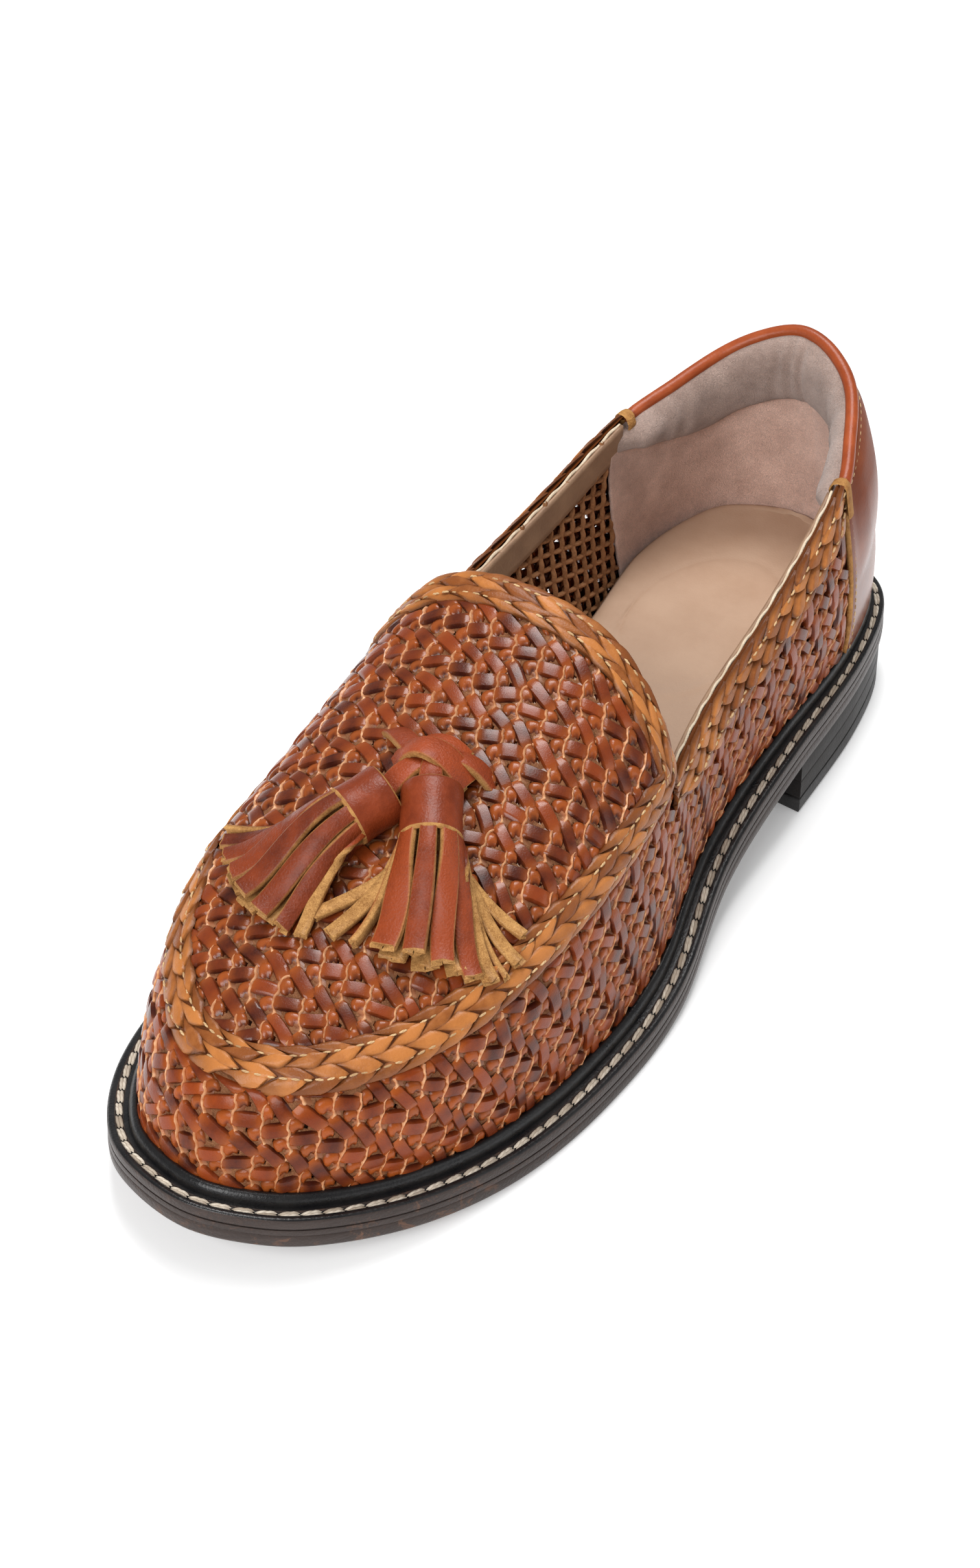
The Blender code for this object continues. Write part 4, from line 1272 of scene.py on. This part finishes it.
def leaf(length, width, degrees, across, shift, high, shade):
    """One visible leaf of the plait: its tail dives, its head lies over its neighbour."""
    places, faces = unit_grid(10, 5)
    a, b = places.T
    half = 0.5 * width * np.clip(np.minimum((1.02 + a) / 1.27, (1.02 - a) / 0.77), 0.02, 1.0) ** 0.92
    spot = turned(columns(a * 0.5 * length, b * half), degrees) + np.array([shift * PLAIT_PITCH, across])
    dome = 0.74 + 0.26 * (1.0 - np.abs(b) ** 4.5) ** 0.5
    rise = PLAIT_LOW + (high - PLAIT_LOW) * (0.5 + 0.5 * a)
    height = rise * dome * (1.0 - 0.18 * np.abs(a) ** 6) - 0.35 * np.abs(b) ** 10
    rim = np.clip(np.maximum((np.abs(b) - 0.75) / 0.25, (a - 0.85) / 0.15), 0.0, 1.0)
    # Last mark: painted shade, strongest at the tail where the leaf dives; the shade argument adds to it.
    return spot, height, faces, rim, np.clip(shade - 0.75 * a, 0.0, 1.0)


LEAVES = (
    leaf(10.4, 4.0, -171.0, -1.05, 0.0, 2.45, -0.10),
    leaf(10.4, 4.0, 171.0, 1.05, 0.5, 2.45, -0.10),
    leaf(11.6, 3.0, 173.0, -3.05, 0.30, 2.25, 0.35),
    leaf(11.6, 3.0, -173.0, 3.05, 0.80, 2.25, 0.35),
)


def plaited(name, strip, node):
    """Braid along a strip: a bed in painted shade, leaves over it, two rows of stitches."""
    count = int(round(strip.length / PLAIT_PITCH))
    pitch = strip.length / count
    joined = Joined()
    for spot, height, faces, rim, dive in LEAVES:
        sway = chance.normal(0.0, 1.0, (count, 3))
        l = (np.arange(count) * pitch)[:, None] + spot[:, 0] * pitch / PLAIT_PITCH + 0.12 * sway[:, :1]
        if not strip.closed:
            l = np.clip(l, 0.0, strip.length)
        points = strip.at(l, spot[:, 1] + 0.08 * sway[:, 1:2], height * (1.0 + 0.05 * sway[:, 2:]))
        joined.add(points, faces, columns(rim, chance.uniform(0.0, 1.0, (count, 1)), dive))
    # Bed under the leaves: a sheet fully browned as painted shade in the gaps between them.
    places, faces = unit_grid(int(strip.length / 1.5), 8)
    a, b = places.T
    bed = PLAIT_BED * np.clip(1.0 - np.abs(b) ** 8, 0.0, None)
    points = strip.at(0.5 * (a + 1.0) * strip.length, b * (BRAID_HALF + 0.1), bed)
    joined.add(points[None], faces, np.array([0.0, 0.2, 1.0]))
    joined.piece(name, PLAIT, "plaited_leather", [node])
    seams = Joined()
    for w in (-SEAM_OFF, SEAM_OFF):
        pieces = int(round(strip.length / SEAM_PITCH))
        l = (np.arange(pieces) + 0.5) * strip.length / pieces
        sunk = SEAM_HEIGHT - np.abs(chance.normal(0.0, 0.20, pieces))
        here = strip.at(l, w, sunk)
        ahead = unit(strip.at(l + 0.3, w, sunk) - here)
        above = unit(strip.at(l, w, sunk + 1.0) - here)
        stitch_row(seams, here, ahead, above, *SEAM_STITCH)
    seams.piece(name + "_stitches", GOLD_THREAD, "plaited_leather")


def topline_strip(side):
    """Middle line of a topline braid, from the tongue back to the counter."""
    s = np.linspace(TONGUE_S[side] - side * 3.0, COUNTER_S[side], 90)
    return Strip(wall, columns(s, total_at(s) - BRAID_HALF + BRAID_OVER), lean=BRAID_LEAN * side)


plaited("plait_apron", Strip(plug, plait_line, closed=True), "apron_braid")
for side, name in SIDES.items():
    plaited("plait_" + name, topline_strip(side), "topline_braid_" + name)


# Back of the shoe

def around_back(a, front):
    """Place along the wall for a share of the way around the back, outer side first."""
    heel = wall.s[-1]
    s = front[1] + a * (2.0 * heel - front[1] + front[-1])
    return np.where(s > heel, s - 2.0 * heel, s)


def counter_shell(a, b):
    """Counter leather, fullest above its middle and turned in under the piping."""
    s = around_back(a, COUNTER_S)
    top = np.maximum(rim_at(s) - 2.4, total_at(s) + 0.3)
    thinned = np.minimum(1.0, 22.0 * near_end(a) + 0.55)
    full = np.clip(1.0 - ((b - 0.72) / 0.32) ** 2, 0.0, None)
    turn_in = smooth((b - 0.9) / 0.1)
    swell = (COUNTER_SWELL * full - turn_in) * smooth(8.0 * near_end(a))
    return wall.at(s, COUNTER_FOOT + (top - COUNTER_FOOT) * b, COUNTER_LIFT * thinned + swell)


def collar_roll(a, b):
    """Rolled piping along the collar, thinner at its ends and further in at the back."""
    s = around_back(a, COUNTER_S)
    top = wall.at(s, total_at(s), 0.0)
    out = unit((wall.at(s, total_at(s), 1.0) - top) * np.array([1.0, 1.0, 0.0]))
    near = np.clip(near_end(a) * 30.0, 0.0, 1.0)
    radius = PIPING_RADIUS * np.sqrt(np.clip(1.0 - (1.0 - near) ** 2.5, 0.0, 1.0))
    sits = PIPING_OUT - PIPING_BACK * smooth(6.0 * near_end(a))
    middle = top + UP * (rim_at(s) - total_at(s) - PIPING_RADIUS)[:, None] + out * sits[:, None]
    angle = math.tau * b
    return middle + (out * np.cos(angle)[:, None] + UP * np.sin(angle)[:, None]) * radius[:, None]


def collar_seam(seams):
    """Stitches along the counter's top, below the piping."""
    s = around_back(np.linspace(0.015, 0.985, 400), COUNTER_S)
    t = np.maximum(rim_at(s) - 4.6, total_at(s) - 1.6)
    line = wall.at(s, t, COUNTER_LIFT + 0.17)
    centres, tangents = evenly(line, GOLD_PITCH)
    run = run_of(line)
    at = run[-1] * (np.arange(len(centres)) + 0.5) / len(centres)
    index = np.round(np.interp(at, run, np.arange(len(s)))).astype(int)
    normals = unit(wall.at(s, t, COUNTER_LIFT + 1.0) - line)[index]
    stitch_row(seams, centres, tangents, normals, *GOLD_STITCH)


def front_seam(seams, side):
    """Stitches down the counter's front edge."""
    t = np.linspace(5.0, total_at(COUNTER_S[side]) - 7.0, 60)
    s = np.full_like(t, COUNTER_S[side] + side * 2.4)
    line = wall.at(s, t, COUNTER_LIFT)
    centres, tangents = evenly(line, GOLD_PITCH)
    index = np.round(np.linspace(0, len(t) - 1, len(centres))).astype(int)
    normals = unit(wall.at(s, t, COUNTER_LIFT + 1.0) - line)[index]
    stitch_row(seams, centres, tangents, normals, *GOLD_STITCH)


def make_front_edge(side, name):
    """Raw edge of the counter's front and the binding over its top, where the topline braid ends."""
    front = COUNTER_S[side]
    top = total_at(front)
    rows = np.array([
        (top - 8.5, 2.4), (top - 3.0, 2.4), (top - 0.5, 2.3), (top + 0.7, 1.5), (top + 1.0, 0.3),
        (top + 0.6, -0.9), (top - 1.0, -1.9), (top - 7.0, -2.0),
    ])

    def arch(a, b):
        line = stretched(rows, a * run_of(rows)[-1])
        angle = math.tau * b
        s = front + side * (0.3 + 1.5 * np.cos(angle))
        return wall.at(s, line[:, 0], line[:, 1] + 0.4 * np.sin(angle))

    def bead(a, b):
        angle = math.tau * b
        s = front + side * (0.2 + 0.65 * np.cos(angle))
        return wall.at(s, 4.0 + (top - 5.0) * a, 1.05 + 0.75 * np.sin(angle))

    formed("end_binding_" + name, 40, 8, arch, RAW_EDGE, "counter_leather", weld=True)
    formed("counter_edge_" + name, 40, 8, bead, RAW_EDGE, "counter_leather", weld=True)


def make_counter():
    formed("counter_shell", 160, 36, counter_shell, COUNTER, "counter_leather", ["counter"],
           thickness=COUNTER_THICK)
    formed("collar_roll", 160, 18, collar_roll, PIPING, "piping_leather", ["collar_piping"], weld=True)
    seams = Joined()
    collar_seam(seams)
    for side, name in SIDES.items():
        front_seam(seams, side)
        make_front_edge(side, name)
    seams.piece("counter_stitches", GOLD_THREAD, "counter_leather")


make_counter()


# Inside

def heel_pocket(a, b):
    s = around_back(a, LINING_S)
    t = LINING_FOOT + (rim_at(s) - 3.4 - LINING_FOOT) * b
    return wall.at(s, t, 0.25 * bell(a, BACK_SEAM, 0.006) - LINING_DEPTH)


def collar_pad(a, b):
    """Padded roll inside the collar, deepest at the back, with shallow puckers and a back seam."""
    depth = PAD_FRONT + PAD_DEEPER * smooth(near_end(a) * 3.2)
    s = around_back(a, LINING_S)
    around = math.tau * b
    t = rim_at(s) - 1.6 - depth * (0.5 - 0.5 * np.cos(around))
    fill = PAD_FILL * smooth(near_end(a) * 12.0) * np.clip(np.sin(around), 0.0, None) ** 0.7
    seam = 1.0 - 0.16 * bell(a, BACK_SEAM, 0.012)
    pucker = 1.0 + 0.05 * np.sin(a * 61.0 + 3.0 * np.sin(a * 23.0)) * np.sin(around)
    tucked = 1.3 * np.clip(np.cos(around), 0.0, 1.0) ** 2
    return wall.at(s, t, tucked - 1.2 - fill * seam * pucker)


def make_topline_binding(side, name):
    """Taupe band inside a quarter's top and the cream edge that shows over it."""
    start = TONGUE_S[side] - side * 6.0
    end = LINING_S[side] + side * 4.0

    def band(a, b):
        s = start + (end - start) * a
        return wall.at(s, total_at(s) - 8.5 + 9.2 * b, -1.6 - 0.25 * np.sin(math.pi * b))

    def rim(a, b):
        s = start + (end - start) * a
        angle = math.tau * b
        wave = 0.35 * np.sin(math.tau * s / PLAIT_PITCH)
        return wall.at(s, total_at(s) + 0.6 + wave + 0.45 * np.sin(angle), -0.5 + 0.35 * np.cos(angle))

    formed("binding_" + name, 70, 6, band, BINDING, "insole_leather", thickness=0.9, flip=side > 0)
    formed("cream_rim_" + name, 160, 8, rim, CREAM, "plaited_leather", weld=True)


def insole_sock(a, b):
    """Sock over the insole: cupped toward its edges, with the pressed line of the heel cushion."""
    x, y = sole_plan(a, b, LIP_FRONT + SOCK_INSET, LIP_HEEL + SOCK_INSET, lambda y: lip(y) + SOCK_INSET)
    top = INSOLE_FRONT + (INSOLE_HEEL + CUSHION_RISE - INSOLE_FRONT) * smooth((y + 20.0) / 110.0)
    across = np.abs(2.0 * b - 1.0)
    cup = 0.9 * across ** 3 - 1.2 * across ** 30
    from_middle = (columns(x, y) - CUSHION_PLACE) / CUSHION_SIZE
    groove = 0.35 * bell(np.hypot(from_middle[:, 0], from_middle[:, 1]), 1.0, 0.035)
    return columns(x, y, underside(y) + top + cup - groove)


def make_inside():
    formed("heel_lining", 200, 50, heel_pocket, LINING, "insole_leather", thickness=LINING_THICK, flip=True)
    collar = formed("collar_pad", 150, 28, collar_pad, PAD, "insole_leather", weld=True)
    for side, name in SIDES.items():
        make_topline_binding(side, name)
    formed("insole_sock", 200, 90, insole_sock, INSOLE, "insole_leather", ["insole"],
           thickness=SOCK_THICK)


make_inside()


# Tassels: head and mouth of each barrel, and where its fringe points

TASSELS = {
    "lateral": ((6.0, -51.1, 73.9), (12.2, -61.6, 69.5), (22.4, -81.3)),
    "medial": ((-1.8, -55.8, 72.9), (-6.6, -64.8, 69.9), (-14.9, -86.7)),
}
BARREL = 6.7
STRIP_THICK = 1.5
THONG_THICK = 1.7

# Strips of a fringe: place around the barrel's mouth in degrees, reach along and across, lift, turn, width
FRINGES = {
    "lateral": (
        (250.0, 22.6, -6.0, 0.7, 180.0, 6.0),
        (285.0, 23.6, 1.0, 0.9, 180.0, 6.0),
        (305.0, 23.0, 7.5, 0.5, 180.0, 4.6),
        (206.0, 14.0, -23.0, 0.8, 180.0, 3.0),
        (192.0, 18.6, -19.2, 1.0, 180.0, 3.4),
        (178.0, 20.6, -14.2, 1.2, 95.0, 2.6),
        (140.0, 22.6, -7.8, 3.6, 12.0, 6.0),
        (93.0, 23.8, -1.4, 5.0, 2.0, 4.8),
        (50.0, 23.8, 4.6, 3.6, -10.0, 5.0),
        (20.0, 23.8, 11.0, 1.8, -14.0, 4.2),
        (8.0, 23.0, 14.6, 1.8, 180.0, 3.6),
        (0.0, 21.0, 17.6, 2.0, 95.0, 2.2),
        (350.0, 17.8, 19.8, 2.6, 180.0, 2.8),
        (335.0, 13.0, 20.6, 2.2, 180.0, 2.4),
    ),
    "medial": (
        (250.0, 23.4, -9.0, 0.6, 180.0, 5.6),
        (280.0, 25.0, -1.5, 0.7, 180.0, 5.6),
        (305.0, 24.2, 4.6, 0.5, 180.0, 4.6),
        (210.0, 13.6, -24.6, 0.8, 95.0, 2.8),
        (196.0, 16.6, -22.0, 1.2, 10.0, 3.8),
        (168.0, 20.0, -16.4, 2.0, 12.0, 4.6),
        (134.0, 23.2, -9.6, 3.4, 10.0, 5.0),
        (95.0, 25.2, -3.0, 4.2, 3.0, 4.9),
        (52.0, 25.2, 3.6, 3.0, -12.0, 4.8),
        (20.0, 24.0, 9.6, 1.6, -30.0, 3.8),
        (2.0, 21.8, 13.6, 1.0, 180.0, 2.8),
    ),
}

# Thong: four points that pull each visible length into its curve, and its width
THONGS = (
    ((-13.5, -37.6, 71.0), (-10.0, -39.8, 75.6), (-6.0, -42.6, 76.2), (-1.5, -44.5, 75.0), 5.4),
    ((-3.5, -40.8, 74.2), (-0.5, -40.2, 77.6), (3.5, -39.8, 77.6), (7.0, -40.0, 74.6), 5.2),
    ((5.5, -42.6, 75.6), (8.0, -41.2, 76.4), (11.0, -40.2, 74.6), (13.6, -39.4, 69.5), 5.2),
    ((2.5, -45.5, 76.0), (0.5, -48.5, 77.4), (-1.0, -52.0, 76.8), (-2.2, -57.0, 73.0), 5.4),
    ((3.0, -45.5, 76.0), (3.6, -47.5, 78.2), (4.6, -49.5, 77.6), (7.0, -53.5, 73.5), 5.2),
    ((-5.0, -47.6, 73.0), (-3.6, -45.4, 80.6), (4.6, -44.4, 81.2), (10.4, -45.0, 72.8), 7.0),
)

# Outline of a strip in halves of its width and thickness, and how raw it is there
STRIP_OUTLINE = np.array([
    (-1.0, 0.0, 1.0), (-1.0, 0.7, 0.6), (-0.86, 1.0, 0.0), (0.0, 1.08, 0.0), (0.86, 1.0, 0.0),
    (1.0, 0.7, 0.6), (1.0, 0.0, 1.0), (1.0, -0.7, 1.0), (0.86, -1.0, 1.0), (0.0, -1.0, 1.0),
    (-0.86, -1.0, 1.0), (-1.0, -0.7, 1.0), (-1.0, 0.0, 1.0),
])


def barrel_frame(head, mouth):
    """Axis, side and top directions of a rolled barrel."""
    axis = unit(mouth - head)
    side = -unit(np.cross(axis, UP))
    return axis, side, np.cross(axis, side)


def make_barrel(name, head, mouth):
    axis, side, top = barrel_frame(head, mouth)
    length = np.linalg.norm(mouth - head)
    outline = np.array([
        (0.10, 0.6), (0.45, 0.3), (0.75, 0.1), (0.90, 0.0), (0.97, 0.35), (1.0, 1.0), (0.99, 3.5),
        (0.98, 0.5 * length), (1.0, length - 2.0), (1.02, length - 0.9), (1.0, length - 0.2),
        (0.93, length), (0.82, length - 0.5), (0.6, length - 1.2), (0.1, length - 1.4),
    ])
    count = len(outline) - 1

    def shape(a, b):
        share, along = outline[np.round(a * count).astype(int)].T
        angle = math.tau * b
        radius = BARREL * share * (1.0 + 0.018 * bell(angle, 2.2, 0.12))
        around = side * (np.cos(angle) * radius)[:, None] + top * (np.sin(angle) * radius)[:, None]
        return head + axis * along[:, None] + around

    obj = formed("barrel_" + name, count, 40, shape, BARREL_LEATHER, "tassel_leather", weld=True, sharp=60.0)
    obj.data.materials.append(RAW_EDGE)
    for face in obj.data.polygons:
        middle = np.array(face.center) / MM - head
        along = middle @ axis
        out = np.linalg.norm(middle - axis * along)
        if along < 0.5 or along > length - 0.65 or out < 0.8 * BARREL:
            face.material_index = 1


def strip_shape(joined, path, facing, width, thick, tone):
    """Flat leather strip along a path, with cut edges and ragged end."""
    places, faces = unit_grid(16, 12)
    row = np.round(8.0 * (places[:, 0] + 1.0))
    k = np.round(6.0 * (places[:, 1] + 1.0)).astype(int)
    across, over, cut = STRIP_OUTLINE[k].T
    last = np.where(row > 14, 1.0, 0.0)
    along = np.where(row > 14, 1.0, np.clip((row - 1.0) / 13.0, 0.0, 1.0) * 0.99)
    run = run_of(path)
    at = along * run[-1]
    tangent = unit(sampled(at, run, np.gradient(path, axis=0)))
    up = sampled(at, run, facing)
    up = unit(up - tangent * np.sum(up * tangent, -1, keepdims=True))
    side = np.cross(tangent, up)
    close = np.where((row < 1) | (row > 15), 0.05, 1.0)
    ragged = chance.normal(0.0, 0.3, 12)[k % 12] * np.where(row > 13, 1.0, 0.0)
    wide = across * 0.5 * width * close * (0.74 + 0.26 * smooth(along * 1.5))
    high = over * 0.5 * thick * close
    points = sampled(at, run, path) + side * wide[:, None] + up * high[:, None] + tangent * ragged[:, None]
    marks = columns(np.maximum(cut, last), tone, np.where(over < -0.5, 1.0, 0.0))
    joined.add(points[None], faces[:, ::-1], marks)


def make_fringe(name, head, mouth, tip):
    """Cut strips that leave the barrel's mouth, turn over and fall on the plug."""
    axis, side, top = barrel_frame(head, mouth)
    plan_axis = unit(np.array(tip) - mouth[:2])
    upright = np.array([0.0, -0.25, 1.0])
    joined = Joined()
    for degrees, reach, across, lift, turn, width in FRINGES[name]:
        a = math.radians(degrees)
        out = side * math.cos(a) + top * math.sin(a)
        start = mouth - axis * 2.0 + out * (BARREL - 1.1)
        plan = mouth[:2] + plan_axis * reach + left_of(plan_axis) * across
        end = on_plug(plan) + UP * (2.2 + lift)
        far = np.linalg.norm(end - start)
        leave = start + axis * 0.42 * far + out * 0.08 * far
        arrive = end - unit(np.array([*(plan - mouth[:2]), -2.0])) * 0.3 * far + UP * 1.2
        path = bezier((start, leave, arrive, end))
        share = np.linspace(0.0, 1.0, len(path))[:, None]
        facing = unit(out * (1.0 - smooth(share * 1.6)) + upright * smooth(share * 1.6))
        spin = np.radians(turn) * smooth(share * 2.6)
        facing = facing * np.cos(spin) + np.cross(unit(np.gradient(path, axis=0)), facing) * np.sin(spin)
        strip_shape(joined, path, facing, width, STRIP_THICK, chance.uniform(0.2, 1.0))
    joined.piece("fringe_" + name, FRINGE, "tassel_leather", ["tassel_" + name])


def make_tie():
    """Thong that comes out of the plug, crosses in a knot over the barrels and goes back in."""
    joined = Joined()
    for *pulls, width in THONGS:
        path = bezier(np.array(pulls))
        facing = np.broadcast_to(unit(np.array([0.0, 0.05, 1.0])), path.shape)
        strip_shape(joined, path, facing, width, THONG_THICK, chance.uniform(0.3, 0.8))
    joined.piece("tie_thongs", THONG, "tassel_leather", ["tassel_tie"])


for name, (head, mouth, tip) in TASSELS.items():
    make_barrel(name, np.array(head), np.array(mouth))
    make_fringe(name, np.array(head), np.array(mouth), tip)
make_tie()


# Floor, light and camera, in metres

SKY = 0.28
FLOOR_GLOW = 0.22
FLOOR_HALF = 6.0

# Lights: place, aim, size and power
LIGHTS = (
    ("top_box", (-0.15, 0.35, 1.15), (0.0, 0.0, 0.04), (0.55, 0.45), 10.5),
    ("right_box", (1.0, 0.25, 0.55), (0.0, 0.0, 0.04), (0.5, 0.7), 1.5),
    ("front_fill", (0.05, -1.18, 0.80), (0.0, 0.06, 0.04), (0.8, 0.8), 16.0),
    ("opening_fill", (0.0, 0.02, 1.30), (0.0, 0.08, 0.04), (0.4, 0.4), 2.7),
)

# Camera: place, then azimuth, elevation and roll in degrees
CAMERA_PLACE = (0.37134, -0.62330, 0.63600)
CAMERA_TURN = (31.54, 39.56, 0.43)
CAMERA_LENS = 96.72
CAMERA_SENSOR = 36.0


def make_floor():
    bm = bmesh.new()
    bmesh.ops.create_grid(bm, x_segments=2, y_segments=2, size=FLOOR_HALF)
    mesh = bpy.data.meshes.new("studio_floor")
    bm.to_mesh(mesh)
    bm.free()
    f = Finish("pale_floor", Roughness=0.8, Base_Color=(0.93, 0.93, 0.93), Emission_Color=(1.0, 1.0, 1.0),
               Emission_Strength=FLOOR_GLOW)
    mesh.materials.append(f.mat)
    floor = link("studio_floor", mesh)


def stand(obj, place, right, up, back):
    turn = Matrix(np.stack([right, up, back], 1).tolist()).to_4x4()
    obj.matrix_world = Matrix.Translation(place) @ turn


def add_light(name, place, aim, size, power):
    data = bpy.data.lights.new(name, "AREA")
    data.shape = "RECTANGLE"
    data.size, data.size_y = size
    data.energy = power
    back = unit(np.array(place) - np.array(aim))
    right = unit(np.cross(UP, back) + np.array([1e-6, 0.0, 0.0]))
    stand(link(name, data), place, right, np.cross(back, right), back)


def make_light():
    scene = bpy.context.scene
    scene.world = bpy.data.worlds.new("studio")
    scene.world.use_nodes = True
    backdrop = scene.world.node_tree.nodes["Background"]
    backdrop.inputs["Color"].default_value = (1.0, 1.0, 1.0, 1.0)
    backdrop.inputs["Strength"].default_value = SKY
    for light in LIGHTS:
        add_light(*light)
    scene.view_settings.view_transform = "Standard"
    scene.view_settings.look = "None"


def make_camera():
    azimuth, elevation, roll = (math.radians(v) for v in CAMERA_TURN)
    level = math.cos(elevation)
    back = np.array([math.sin(azimuth) * level, -math.cos(azimuth) * level, math.sin(elevation)])
    right = np.array([math.cos(azimuth), math.sin(azimuth), 0.0])
    up = np.cross(back, right)
    data = bpy.data.cameras.new("photo_camera")
    data.lens = CAMERA_LENS
    data.sensor_width = CAMERA_SENSOR
    data.clip_start = 0.01
    camera = link("photo_camera", data)
    stand(camera, CAMERA_PLACE, right * math.cos(roll) + up * math.sin(roll),
          up * math.cos(roll) - right * math.sin(roll), back)
    bpy.context.scene.camera = camera


make_floor()
make_light()
make_camera()
